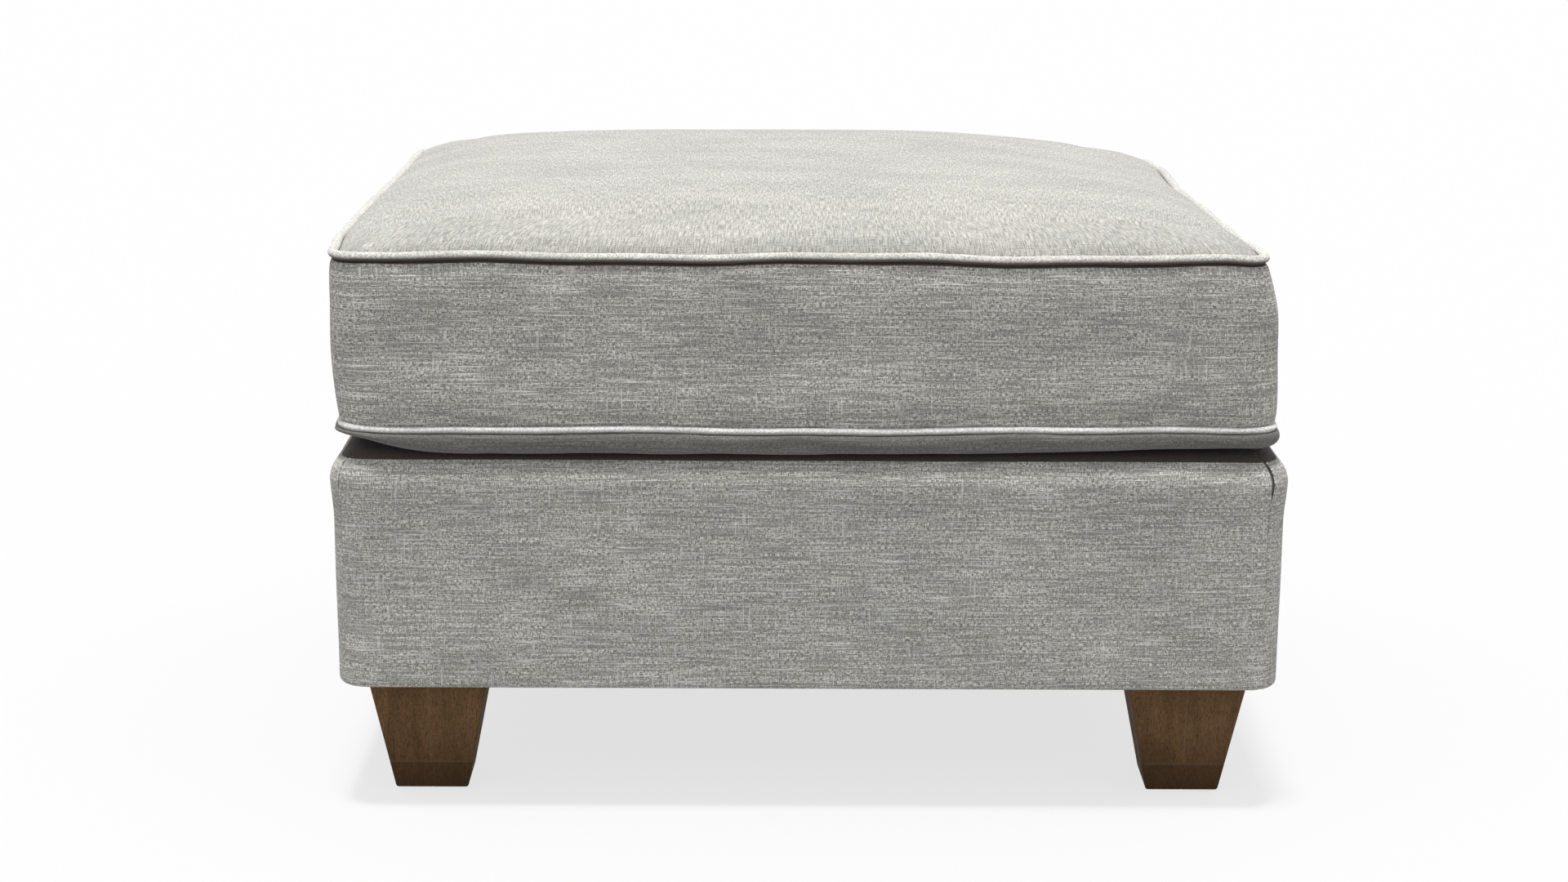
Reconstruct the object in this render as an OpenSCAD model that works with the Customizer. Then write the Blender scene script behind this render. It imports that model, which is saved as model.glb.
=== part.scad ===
// Upholstered ottoman: a loose welted box cushion on a sprung, upholstered base with four block legs.
// Millimetres. The origin is on the floor under the middle of the base. X is the width, the front
// faces -Y and Z is up.

/* [Overall] */
// Width of the base over its rolled shoulders
base_w = 762; // [640:1:1000]
// Depth of the base over its rolled shoulders
base_d = 610; // [500:1:800]
// Height of the base from its underside to the top of the deck
base_h = 194; // [180:1:260]
// Height of the underside of the base above the floor
clear_h = 100; // [80:1:180]

/* [Cover] */
// Thickness of the cover cloth
cloth_t = 1.5; // [0.8:0.1:2.5]
// Radius of the rolled shoulder
shoulder_r = 25; // [20:1:32]
// How far the shoulder stands out past the flat of the wall
shoulder_bulge = 2; // [0.5:0.5:5]
// Radius of the lower edge of the cover
hem_r = 7; // [4:0.5:12]
// Plan radius of the corners of the base
base_corner_r = 28; // [26:1:34]
// Thickness of the padding on the frame
pad_t = 12; // [9:0.5:14]
// Width of the cover's flat border on the deck, from the outside of the base
border_w = 80; // [60:1:120]
// Width of cover turned in under the frame, from the outside of the base
turn_in = 34; // [31:1:36]
// Width of the seam line between two cover panels
seam_w = 0.4; // [0.2:0.1:1]

/* [Frame] */
// Thickness of the hardwood rails
rail_t = 21; // [18:0.5:25]
// Height of the rails
rail_h = 150; // [125:1:160]
// Length of a corner block along each rail
block_l = 95; // [85:1:110]
// Height of a corner block
block_h = 32; // [25:1:45]
// Width left on the clipped ends of a corner block
block_end = 22; // [20:1:30]
// Radius of the shank of the wood screws
screw_r = 2; // [1.5:0.1:2.5]
// Length of the screws that join the rails
rail_screw_l = 60; // [45:1:75]
// Length of the screws in the corner blocks
block_screw_l = 45; // [42:1:48]

/* [Springs] */
// Radius of the spring wire
wire_r = 1.9; // [1.5:0.1:2.3]
// Width of one sinuous spring over its bends
spring_w = 50; // [42:1:60]
// Wanted distance between two bars of a spring
bar_pitch = 23.8; // [20:0.2:28]
// Height of the arch of the springs
spring_arch = 15; // [8:1:18]
// Thickness of the strip that the spring clips are bent from
clip_t = 1.2; // [0.8:0.1:1.6]
// Radius of the stay wires
stay_r = 1.5; // [1:0.1:2]
// Thickness of the cloth that covers the springs
burlap_t = 1; // [0.6:0.1:2]

/* [Legs] */
// Width of a leg at its top
leg_top = 96; // [80:1:105]
// Width of a leg at its foot
leg_foot = 59; // [40:1:80]
// Distance of a leg's top from the outside of the base
leg_inset = 25; // [22:1:32]
// Width of the eased edges of a leg
leg_ease = 2; // [0.5:0.5:5]
// Radius of the hanger bolts
bolt_r = 4; // [3:0.5:5]
// Length of a hanger bolt inside its leg
bolt_in_leg = 35; // [25:1:50]
// Radius of a glide
glide_r = 11; // [8:0.5:15]
// Thickness of a glide
glide_t = 3; // [2:0.5:5]
// Thickness of the dust cover
dust_t = 0.6; // [0.4:0.1:1.5]

/* [Cushion] */
// Height between the two seams of the cushion
cushion_h = 138; // [100:1:170]
// Distance of the cushion's seam from the outside of the base
cushion_inset = 14; // [10:0.5:20]
// Plan radius of the cushion's seam at a corner
cushion_corner_r = 16; // [14:0.5:24]
// How far the boxing strips bulge out past the seams
boxing_bulge = 5.5; // [3:0.5:8]
// Height of the rolled edge of the top panel
crown_edge_h = 14; // [10:1:32]
// Width of the rolled edge of the top panel
crown_edge_w = 36; // [20:1:45]
// Height of the dome that the top panel adds in the middle
crown_dome_h = 24; // [10:1:45]
// Share of the rolled edge's height that is lost at a corner of the top panel
crown_corner_ease = 0.5; // [0:0.05:0.7]
// Reach of that loss from the corner
crown_corner_reach = 38; // [20:1:80]
// Height of the bottom panel from the deck to its seam
belly_h = 17; // [14:0.5:24]
// Radius of the finished welt
welt_r = 4; // [3:0.25:5]
// Radius of the cord inside the welt
cord_r = 2.5; // [1.5:0.25:2.75]

/* [Zip] */
// Length of the zip's row of teeth
zip_l = 600; // [400:5:620]
// Width of the closed teeth
teeth_w = 5.2; // [4:0.2:6]
// Thickness of the closed teeth
teeth_t = 2; // [1.4:0.1:2.2]
// Width of the slot between the two strips of the back boxing
zip_slot = 8.4; // [8.2:0.2:10]
// Width of the zip's tape
tape_w = 32; // [26:1:40]
// Thickness of the zip's tape
tape_t = 0.6; // [0.4:0.1:1]
// Length of the slider
slider_l = 14; // [10:0.5:18]
// Thickness of the slider's plate
slider_t = 1.2; // [0.8:0.1:1.4]

/* [Hidden] */
$fn = 48;

// Clearances
soft_gap = 0.3;       // between soft pieces that touch
fit_gap = 0.05;       // round a shank in its bore
slide_gap = 0.15;     // between the slider and the teeth
bar_gap = 0.2;        // room between a bar and its bend inside the swelling
swell_a = 3;          // half angle of a swelling
swell = 0.04;         // swelling of the spring wire where a bend starts
eps = 0.01;           // overrun of a cut past the face it starts from

// Colours
cloth_c = [0.52, 0.52, 0.50];
lining_c = [0.30, 0.30, 0.30];
foam_c = [0.93, 0.88, 0.72];
fibre_c = [0.95, 0.95, 0.93];
wood_c = [0.78, 0.62, 0.42];
walnut_c = [0.19, 0.12, 0.08];
steel_c = [0.62, 0.63, 0.65];
nylon_c = [0.16, 0.16, 0.17];

// Half sizes and levels of the base. "In" sizes are measured inwards from the outside of the base.
half_w = base_w / 2;
half_d = base_d / 2;
deck_z = clear_h + base_h;
hem_z = clear_h + dust_t;
rail_z = hem_z + cloth_t;
rail_top = rail_z + rail_h;
rail_in = shoulder_bulge + cloth_t + pad_t;
rail_in2 = rail_in + rail_t;
shoulder_z = deck_z - shoulder_r;

// Corner profiles are drawn with x measured outwards from the axis of the corner's rounding.
axis_x = half_w - base_corner_r;
axis_y = half_d - base_corner_r;
wall_x = base_corner_r - shoulder_bulge;
shoulder_x = base_corner_r - shoulder_r;
roll_r = shoulder_r - cloth_t - pad_t;
roll_in_x = soft_gap;

// Springs
clip_r = wire_r + fit_gap;
clip_in = rail_in2 - 4.5;
bar_end_y = half_d - clip_in;
bar_end_z = rail_top + clip_t + clip_r;
arch_r = (pow(bar_end_y, 2) + pow(spring_arch, 2)) / (2 * spring_arch);
arch_z = bar_end_z + spring_arch - arch_r;
arch_a = asin(bar_end_y / arch_r);
bars = round(2 * arch_a * PI / 180 * arch_r / bar_pitch) + 1;
bar_step = 2 * arch_a / (bars - 1);
bend_r = arch_r * sin(bar_step / 2);
bar_l = spring_w - 2 * (bend_r + wire_r);
spring_count = 5;
spring_pitch = (base_w - 2 * rail_in2) / spring_count;
cover_in_r = arch_r + clip_r + clip_t + soft_gap;
clip_w = bar_l - 2;
clip_plate_w = clip_w + 14;
clip_plate_d = 8;
nail_r = 1;
nail_head_r = 2.2;
nail_head_t = 0.6;
nail_l = 16;
nail_x = (clip_w + clip_plate_w) / 4;
stay_bars = [floor(bars / 3), bars - 1 - floor(bars / 3)];

// Fixings
leg_mid_in = leg_inset + leg_top / 2;
leg_x = half_w - leg_mid_in;
leg_y = half_d - leg_mid_in;
block_z = hem_z;
block_top = block_z + block_h;
screw_head_r = 2 * screw_r;
screw_head_h = 1.2 * screw_r;
rail_screw_sink = 2;
block_screw_at = block_l - 12;
block_screw_seat = block_end + 12 - 3;
nut_barrel_r = bolt_r + 1.5;
nut_barrel_l = 14;
nut_flange_r = bolt_r + 6;
nut_flange_t = 1.6;
bolt_top = block_top + nut_flange_t + 2;
glide_nail_r = 1.25;
glide_nail_l = 14;

// Cushion. Seam sizes are on the centre line of the welts.
seam_x = half_w - cushion_inset;
seam_y = half_d - cushion_inset;
cushion_z = deck_z + soft_gap;
low_seam_z = cushion_z + belly_h;
top_seam_z = low_seam_z + cushion_h;
mid_z = (low_seam_z + top_seam_z) / 2;
seam_axis_x = seam_x - cushion_corner_r;
seam_axis_y = seam_y - cushion_corner_r;
rim_x = cushion_corner_r - welt_r - soft_gap;
belly_r = min(rim_x, belly_h) - 1;
boxing_h = cushion_h / 2 - welt_r - soft_gap;
boxing_r = (pow(boxing_h, 2) + pow(boxing_bulge, 2)) / (2 * boxing_bulge);
boxing_cx = cushion_corner_r + boxing_bulge - boxing_r;
boxing_y = seam_y + boxing_bulge;
strip_end_gap = 0.2;
zip_end_gap = 2;

// Zip
lining_r = boxing_r - cloth_t;
tape_y = boxing_y - cloth_t - soft_gap - lining_r + sqrt(pow(lining_r, 2) - pow(tape_w / 2, 2));
teeth_y = tape_y;
slider_y = boxing_y + soft_gap;
slider_flange_t = 1;
slider_w = teeth_w + 2 * (slide_gap + slider_flange_t) + 3;
slider_x = zip_l / 2 - slider_l / 2 - 12;
channel_d = 4;
channel_gap = 2;
tape_end = 10;
tooth_pitch = 2.5;
coil_core = 0.55;
ridge_t = 1;
ridge_w = 2;

// The crowned top: rings of points from the rim to the middle
edge_steps = 4;
inner_rings = [0.88, 0.76, 0.5, 0.24];
corner_steps = 3;
long_steps = 8;
short_steps = 6;
inner_corner_r = 40;
crown_power_x = 3;
crown_power_y = 5;
top_a = seam_x - welt_r - soft_gap;
top_b = seam_y - welt_r - soft_gap;

// Carries a corner profile along the four sides and round the four corners, with the middle filled
// from z0 to z1. The children are the profile, x outwards from the corner axis and y up.
module rounded_block(ax, ay, z0, z1) {
    ring(ax, ay) children();
    translate([-ax, -ay, z0]) cube([2 * ax, 2 * ay, z1 - z0]);
}

// Carries a corner profile along the four sides and round the four corners
module ring(ax, ay) {
    for (s = [0, 180]) {
        rotate([0, 0, s]) run(2 * ax, ay) children();
        rotate([0, 0, s + 90]) run(2 * ay, ax) children();
    }
    for (sx = [-1, 1], sy = [-1, 1])
        translate([sx * ax, sy * ay, 0])
            rotate([0, 0, sx > 0 ? (sy > 0 ? 0 : 270) : (sy > 0 ? 90 : 180)])
                rotate_extrude(angle = 90) children();
}

// Carries a profile along one side of the given length that faces -Y and starts at y = -dist
module run(length, dist) {
    translate([0, -dist, 0])
        rotate([0, 0, -90]) rotate([90, 0, 0])
            linear_extrude(length, center = true) children();
}

// Places children, drawn for the back right corner, at the corner with the signs sx and sy
module at_corner(x, y, sx, sy) {
    translate([sx * x, sy * y, 0])
        mirror([sx < 0 ? 1 : 0, 0, 0]) mirror([0, sy < 0 ? 1 : 0, 0]) children();
}

// Solid section of the base's cover, drawn in by the distance d from its outside
module base_section(d) {
    low = hem_z + hem_r;
    translate([0, low]) square([wall_x - d, shoulder_z - low]);
    intersection() {
        translate([shoulder_x, shoulder_z]) circle(shoulder_r - d);
        translate([0, shoulder_z - shoulder_r]) square([2 * shoulder_r, 2 * shoulder_r]);
    }
    translate([0, shoulder_z - eps]) square([shoulder_x, shoulder_r - d + eps]);
    translate([wall_x - hem_r, low]) circle(hem_r - d);
    translate([0, hem_z + d]) square([wall_x - hem_r, low - hem_z - d + eps]);
}

// Section of the cover cloth over the wall and the shoulder
module cover_section() {
    difference() {
        base_section(0);
        base_section(cloth_t);
    }
}

// One cover panel that faces -Y: wall, shoulder, half of each corner, deck border and turn-in
module cover_panel(w, d) {
    ax = w / 2 - base_corner_r;
    ay = d / 2 - base_corner_r;
    seam_a = asin(seam_w / 2 / base_corner_r);
    run(2 * ax, ay) cover_section();
    for (s = [0, 1])
        mirror([s, 0, 0]) translate([ax, -ay, 0])
            rotate([0, 0, -90]) rotate_extrude(angle = 45 - seam_a) cover_section();
    mitred_strip(w, d, border_w, deck_z - cloth_t);
    mitred_strip(w, d, turn_in, hem_z);
}

// Flat mitred strip of cloth from the corner axis to the distance wide from the outside
module mitred_strip(w, d, wide, z) {
    s = seam_w / sqrt(2);
    x0 = w / 2 - base_corner_r - s;
    x1 = w / 2 - wide - s;
    y0 = -d / 2 + base_corner_r;
    y1 = -d / 2 + wide;
    translate([0, 0, z]) linear_extrude(cloth_t)
        polygon([[-x0, y0], [x0, y0], [x1, y1], [-x1, y1]]);
}

module cover_front() {
    color(cloth_c) cover_panel(base_w, base_d);
}

module cover_back() {
    color(cloth_c) rotate([0, 0, 180]) cover_panel(base_w, base_d);
}

module cover_left() {
    color(cloth_c) rotate([0, 0, -90]) cover_panel(base_d, base_w);
}

module cover_right() {
    color(cloth_c) rotate([0, 0, 90]) cover_panel(base_d, base_w);
}

// Lining cloth inside the cover's border
module deck_cloth() {
    in = border_w + seam_w / 2;
    color(lining_c) translate([-half_w + in, -half_d + in, deck_z - cloth_t])
        cube([base_w - 2 * in, base_d - 2 * in, cloth_t]);
}

// Foam slab with a flat top and an arched underside that follows the springs
module deck_foam() {
    in = base_corner_r + soft_gap;
    color(foam_c) difference() {
        translate([-half_w + in, -half_d + in, rail_top + eps])
            cube([base_w - 2 * in, base_d - 2 * in, deck_z - cloth_t - rail_top - eps]);
        arch_bar(base_w) circle(cover_in_r + burlap_t, $fn = 1440);
    }
}

// Burlap stretched over the springs and the clips
module spring_cover() {
    in = base_corner_r + soft_gap;
    color("peru") intersection() {
        translate([-half_w + in, -half_d + in, rail_top])
            cube([base_w - 2 * in, base_d - 2 * in, base_h]);
        arch_bar(base_w) difference() {
            circle(cover_in_r + burlap_t, $fn = 1440);
            circle(cover_in_r, $fn = 1440);
        }
    }
}

// Carries a profile drawn round the centre of the springs' arch along X
module arch_bar(length) {
    translate([0, 0, arch_z]) rotate([90, 0, 90])
        linear_extrude(length, center = true) children();
}

// Firm roll on the outer edge of the rails, which the padding wraps over
module edge_roll() {
    color(foam_c) ring(axis_x, axis_y) difference() {
        union() {
            intersection() {
                translate([shoulder_x, shoulder_z]) circle(roll_r);
                square([2 * shoulder_r, deck_z]);
            }
            translate([0, rail_top]) square([shoulder_x + roll_r, shoulder_z - rail_top]);
            translate([0, shoulder_z - eps]) square([shoulder_x, roll_r + eps]);
        }
        translate([-eps, -eps]) square([2 * shoulder_r, rail_top + eps]);
        translate([-eps, -eps]) square([roll_in_x + eps, deck_z]);
    }
}

// Soft padding between the frame and the cover
module frame_padding() {
    color(fibre_c) ring(axis_x, axis_y) difference() {
        base_section(cloth_t);
        translate([-eps, -eps]) square([base_corner_r - rail_in + eps, rail_top + eps]);
        translate([-eps, rail_top - 2 * eps]) square([shoulder_x + roll_r + eps, shoulder_z - rail_top + 2 * eps]);
        translate([shoulder_x, shoulder_z]) circle(roll_r);
        translate([-eps, shoulder_z - eps]) square([shoulder_x + eps, roll_r + eps]);
    }
}

// Long rail that faces -Y, with rounded outer corners and bores for the screws and the nails
module long_rail() {
    r = base_corner_r - rail_in;
    color(wood_c) difference() {
        translate([0, 0, rail_z]) linear_extrude(rail_h) {
            translate([-axis_x, -half_d + rail_in]) square([2 * axis_x, rail_t]);
            for (s = [0, 1]) mirror([s, 0, 0]) translate([axis_x, -axis_y]) {
                intersection() {
                    circle(r);
                    translate([0, -r]) square([r, r]);
                }
                square([r, rail_in2 - base_corner_r]);
            }
        }
        for (sx = [-1, 1]) at_rail_screws(sx, -1) wood_screw(rail_screw_l, fit_gap, 1);
        for (sx = [-1, 1]) at_block_screw_y(sx, -1) wood_screw(block_screw_l, fit_gap, 1);
        at_clips(-1) translate([0, 0, clip_t]) clip_nail_pair(fit_gap);
    }
}

// Short rail between the long ones, facing -X, with bores for the screws
module short_rail() {
    color(wood_c) difference() {
        translate([-half_w + rail_in, -half_d + rail_in2, rail_z])
            cube([rail_t, base_d - 2 * rail_in2, rail_h]);
        for (sy = [-1, 1]) {
            at_rail_screws(-1, sy) wood_screw(rail_screw_l, fit_gap, 1);
            at_block_screw_x(-1, sy) wood_screw(block_screw_l, fit_gap, 1);
        }
    }
}

module rail_front() {
    long_rail();
}

module rail_back() {
    mirror([0, 1, 0]) long_rail();
}

module rail_left() {
    short_rail();
}

module rail_right() {
    mirror([1, 0, 0]) short_rail();
}

// Countersunk wood screw along -Z with its head's top at the origin, or its bore when grown by g
module wood_screw(length, g, over) {
    tip = 3 * screw_r;
    translate([0, 0, -length + tip]) cylinder(length - tip + over * eps, r = screw_r + g);
    translate([0, 0, -length]) cylinder(tip, r1 = 0.4 + g, r2 = screw_r + g);
    translate([0, 0, -screw_head_h]) cylinder(screw_head_h, r1 = screw_r + g, r2 = screw_head_r + g);
    if (over > 0) cylinder(2 * pad_t, r = screw_head_r + g);
}

// The two places of the screws through a long rail into the end of a short one
module at_rail_screws(sx, sy) {
    for (z = [rail_h / 3, 2 * rail_h / 3 + 10])
        at_corner(half_w - rail_in - rail_t / 2, half_d - rail_in - rail_screw_sink, sx, sy)
            translate([0, 0, rail_z + z]) rotate([-90, 0, 0]) children();
}

// The place of the screw through a corner block into a long rail
module at_block_screw_y(sx, sy) {
    at_corner(half_w - rail_in2 - block_screw_at, half_d - rail_in2 - block_screw_seat, sx, sy)
        translate([0, 0, block_z + block_h / 2]) rotate([90, 0, 0]) children();
}

// The place of the screw through a corner block into a short rail
module at_block_screw_x(sx, sy) {
    at_corner(half_w - rail_in2 - block_screw_seat, half_d - rail_in2 - block_screw_at, sx, sy)
        translate([0, 0, block_z + block_h / 2]) rotate([0, -90, 0]) children();
}

// Corner block with its T-nut bore and screw bores
module corner_block(sx, sy) {
    color(wood_c) difference() {
        at_corner(half_w - rail_in2, half_d - rail_in2, sx, sy)
            translate([0, 0, block_z]) linear_extrude(block_h)
                polygon([[0, 0], [-block_l, 0], [-block_l, -block_end], [-block_end, -block_l], [0, -block_l]]);
        at_corner(leg_x, leg_y, sx, sy) {
            translate([0, 0, block_z - eps]) cylinder(block_h + 2 * eps, r = bolt_r + 4 * fit_gap);
            translate([0, 0, block_top - nut_barrel_l - fit_gap])
                cylinder(nut_barrel_l + 1, r = nut_barrel_r + fit_gap);
        }
        at_block_screw_y(sx, sy) wood_screw(block_screw_l, fit_gap, 1);
        at_block_screw_x(sx, sy) wood_screw(block_screw_l, fit_gap, 1);
    }
}

module rail_screws() {
    color(steel_c) for (sx = [-1, 1], sy = [-1, 1]) at_rail_screws(sx, sy) wood_screw(rail_screw_l, 0, 0);
}

module block_screws() {
    color(steel_c) for (sx = [-1, 1], sy = [-1, 1]) {
        at_block_screw_y(sx, sy) wood_screw(block_screw_l, 0, 0);
        at_block_screw_x(sx, sy) wood_screw(block_screw_l, 0, 0);
    }
}

// Puts children at the angle a and the radius r on the springs' arch, turned to follow it
module on_arch(a, r) {
    translate([0, r * sin(a), arch_z + r * cos(a)]) rotate([-a, 0, 0]) children();
}

// Half ring of wire about Z from +X to -X, swollen where the straight bars run into its ends
module bend() {
    rotate_extrude(angle = 180, $fn = 48) translate([bend_r, 0]) circle(wire_r, $fn = 24);
    for (a = [0, 180]) rotate([0, 0, a - swell_a])
        rotate_extrude(angle = 2 * swell_a, $fn = 48) translate([bend_r, 0]) circle(wire_r + swell, $fn = 24);
}

// Sinuous spring: straight bars across, joined at alternate ends by half rings
module sinuous_spring(n) {
    x = (n - (spring_count + 1) / 2) * spring_pitch;
    color(steel_c) translate([x, 0, 0]) {
        for (i = [0:bars - 1])
            on_arch(-arch_a + i * bar_step, arch_r)
                rotate([0, 90, 0]) cylinder(bar_l - 2 * bar_gap, r = wire_r, center = true, $fn = 24);
        for (i = [0:bars - 2]) {
            side = i % 2 == 0 ? 1 : -1;
            on_arch(-arch_a + (i + 0.5) * bar_step, arch_r * cos(bar_step / 2))
                translate([side * bar_l / 2, 0, 0])
                    rotate([0, 0, side > 0 ? -90 : 90])
                        bend();
        }
    }
}

// Clip places on the long rail at the side sy
module at_clips(sy) {
    for (n = [1:spring_count])
        translate([(n - (spring_count + 1) / 2) * spring_pitch, sy * bar_end_y, rail_top]) children();
}

// Bent strip that holds the end bar of a spring: a nailed plate and an open curl
module clip(sy) {
    curl_r = clip_r + clip_t;
    difference() {
        translate([-clip_plate_w / 2, -clip_plate_d / 2, 0])
            cube([clip_plate_w, clip_plate_d, clip_t]);
        translate([0, 0, clip_t]) clip_nail_pair(fit_gap);
        rotate([90, 0, 90]) linear_extrude(clip_plate_w, center = true)
            translate([0, clip_t + clip_r]) circle(clip_r);
    }
    rotate([90, 0, 90]) linear_extrude(clip_w, center = true)
        translate([0, clip_t + clip_r]) difference() {
            circle(curl_r);
            circle(clip_r);
            translate([sy > 0 ? -2 * curl_r : 0, 0]) square([2 * curl_r, curl_r * 0.55]);
        }
}

module spring_clips() {
    color(steel_c) for (sy = [-1, 1]) at_clips(sy) clip(sy);
}

// The two nails of a clip along -Z with their heads' tops at the origin, or their bores
module clip_nail_pair(g) {
    for (s = [-1, 1]) translate([s * nail_x, 0, 0]) {
        translate([0, 0, -nail_l]) cylinder(nail_l, r = nail_r + g, $fn = 24);
        translate([0, 0, -nail_head_t - g]) cylinder(nail_head_t + 2 * g, r = nail_head_r + g, $fn = 24);
    }
}

module clip_nails() {
    color(steel_c) for (sy = [-1, 1]) at_clips(sy) translate([0, 0, clip_t]) clip_nail_pair(0);
}

// Wires under the springs from one short rail to the other, bent down onto the rails
module stay_wires() {
    x = half_w - clip_in;
    color(steel_c) for (i = stay_bars) {
        a = -arch_a + i * bar_step;
        y = arch_r * sin(a);
        z = arch_z + arch_r * cos(a) - wire_r - stay_r - 2 * fit_gap;
        translate([0, y, z]) rotate([0, 90, 0]) cylinder(2 * x, r = stay_r, center = true, $fn = 24);
        for (s = [-1, 1]) {
            translate([s * x, y, z]) sphere(stay_r, $fn = 24);
            translate([s * x, y, rail_top]) cylinder(z - rail_top, r = stay_r, $fn = 24);
        }
    }
}

// Cloth over the underside, with holes for the bolts
module dust_cover() {
    in = shoulder_bulge + hem_r + 11;
    color(lining_c) difference() {
        translate([-half_w + in, -half_d + in, clear_h])
            cube([base_w - 2 * in, base_d - 2 * in, dust_t]);
        for (sx = [-1, 1], sy = [-1, 1]) at_corner(leg_x, leg_y, sx, sy)
            translate([0, 0, clear_h - eps]) cylinder(dust_t + 2 * eps, r = bolt_r + 10 * fit_gap);
    }
}

// Square leg that tapers alike on its four faces, with eased edges and bores for bolt and glide
module leg(sx, sy) {
    color(walnut_c) at_corner(leg_x, leg_y, sx, sy) difference() {
        intersection() {
            leg_taper(leg_top, leg_foot, 0);
            leg_taper(leg_top, leg_foot, 90);
            leg_taper(sqrt(2) * leg_top - leg_ease, sqrt(2) * leg_foot - leg_ease, 45);
        }
        translate([0, 0, clear_h - bolt_in_leg - 1]) cylinder(bolt_in_leg + 2, r = bolt_r + fit_gap);
        translate([0, 0, glide_t - eps]) cylinder(glide_nail_l + 1, r = glide_nail_r + fit_gap, $fn = 24);
    }
}

// Wedge of the widths top and foot, turned by a about Z
module leg_taper(top, foot, a) {
    rotate([0, 0, a]) rotate([90, 0, 0]) linear_extrude(2 * leg_top, center = true)
        polygon([[-foot / 2, glide_t], [foot / 2, glide_t], [top / 2, clear_h], [-top / 2, clear_h]]);
}

module hanger_bolts() {
    color(steel_c) for (sx = [-1, 1], sy = [-1, 1]) at_corner(leg_x, leg_y, sx, sy)
        translate([0, 0, clear_h - bolt_in_leg]) cylinder(bolt_top - clear_h + bolt_in_leg, r = bolt_r);
}

module t_nuts() {
    color(steel_c) for (sx = [-1, 1], sy = [-1, 1]) at_corner(leg_x, leg_y, sx, sy)
        difference() {
            union() {
                translate([0, 0, block_top]) cylinder(nut_flange_t, r = nut_flange_r);
                translate([0, 0, block_top - nut_barrel_l]) cylinder(nut_barrel_l + nut_flange_t, r = nut_barrel_r);
            }
            translate([0, 0, block_top - nut_barrel_l - 1])
                cylinder(nut_barrel_l + nut_flange_t + 2, r = bolt_r + fit_gap);
        }
}

module glides() {
    color(nylon_c) for (sx = [-1, 1], sy = [-1, 1]) at_corner(leg_x, leg_y, sx, sy) {
        cylinder(glide_t, r = glide_r);
        cylinder(glide_t + glide_nail_l, r = glide_nail_r, $fn = 24);
    }
}

// Points of one ring of the crowned top: a rounded rectangle of the half sizes a and b
function ring_xy(a, b, r) = [
    for (c = [0:3])
        let (sx = c == 0 || c == 3 ? 1 : -1, sy = c < 2 ? 1 : -1,
             nx = c == 0 || c == 1 ? -1 : 1, steps = c % 2 == 0 ? long_steps : short_steps)
        each concat(
            [for (j = [0:corner_steps]) let (t = 90 * c + 90 * j / corner_steps)
                [sx * (a - r) + r * cos(t), sy * (b - r) + r * sin(t)]],
            [for (k = [1:steps - 1]) let (f = 1 - 2 * k / steps)
                c == 0 ? [f * (a - r), b] : c == 1 ? [-a, f * (b - r)]
                : c == 2 ? [-f * (a - r), -b] : [a, -f * (b - r)]]
        )
];

// Height of the dome over the seam, which falls to nothing along the rim
function dome(x, y) =
    crown_dome_h * (1 - pow(abs(x / top_a), crown_power_x)) * (1 - pow(abs(y / top_b), crown_power_y));

// Share of the rolled edge's height that is left at a point of the top
function edge_share(x, y) = 1 - crown_corner_ease
    * exp(-(pow(top_a - abs(x), 2) + pow(top_b - abs(y), 2)) / pow(crown_corner_reach, 2));

// Rings of the top's outer surface from the rim to the middle, each as [points, rise of the edge]
top_rings = concat(
    [for (i = [0:edge_steps])
        let (t = 90 * i / edge_steps, w = crown_edge_w * (1 - cos(t)))
        [ring_xy(top_a - w, top_b - w, max(rim_x - w / 2, 4)), crown_edge_h * sin(t)]],
    [for (s = inner_rings)
        [ring_xy((top_a - crown_edge_w) * s, (top_b - crown_edge_w) * s, inner_corner_r * s), crown_edge_h]]
);

// The same rings as points in space, lowered by d
function crown_rings(d) = [for (g = top_rings)
    [for (p = g[0]) [p[0], p[1], top_seam_z + g[1] * edge_share(p[0], p[1]) + dome(p[0], p[1]) - d]]];

function crown_peak(d) = [0, 0, top_seam_z + crown_edge_h + crown_dome_h - d];

function reversed(v) = [for (i = [len(v) - 1:-1:0]) v[i]];

// Closed surface through rings of equal counts, listed from the top point down to the bottom point.
// From the ring number turn on, the bands are split along their other diagonal, so that the inside
// of the top panel has the same triangles as the outside of the fibre that fills it.
module ring_stack(peak, rings, base, turn) {
    n = len(rings[0]);
    m = len(rings);
    points = concat([peak], [for (r = rings) each r], [base]);
    bands = [for (i = [0:m - 2], j = [0:n - 1])
        let (p = 1 + i * n, q = p + n, k = (j + 1) % n, far = i < turn)
        each [[p + j, p + k, q + (far ? k : j)], [far ? p + j : p + k, q + k, q + j]]];
    polyhedron(points, concat(
        [for (j = [0:n - 1]) [0, 1 + (j + 1) % n, 1 + j]],
        bands,
        [for (j = [0:n - 1]) [m * n + 1, (m - 1) * n + 1 + j, (m - 1) * n + 1 + (j + 1) % n]]
    ), convexity = 4);
}

// Crowned cloth of the cushion's top
module cushion_top_panel() {
    color(cloth_c) ring_stack(
        crown_peak(0),
        concat(reversed(crown_rings(0)), crown_rings(cloth_t)),
        crown_peak(cloth_t),
        len(top_rings)
    );
}

// Fibre between the foam core and the top panel
module fibre_wrap_top() {
    low = top_seam_z - welt_r - soft_gap;
    color(fibre_c) ring_stack(
        crown_peak(cloth_t),
        concat(reversed(crown_rings(cloth_t)), [[for (p = top_rings[0][0]) [p[0], p[1], low]]]),
        [0, 0, low],
        len(top_rings)
    );
}

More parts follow.
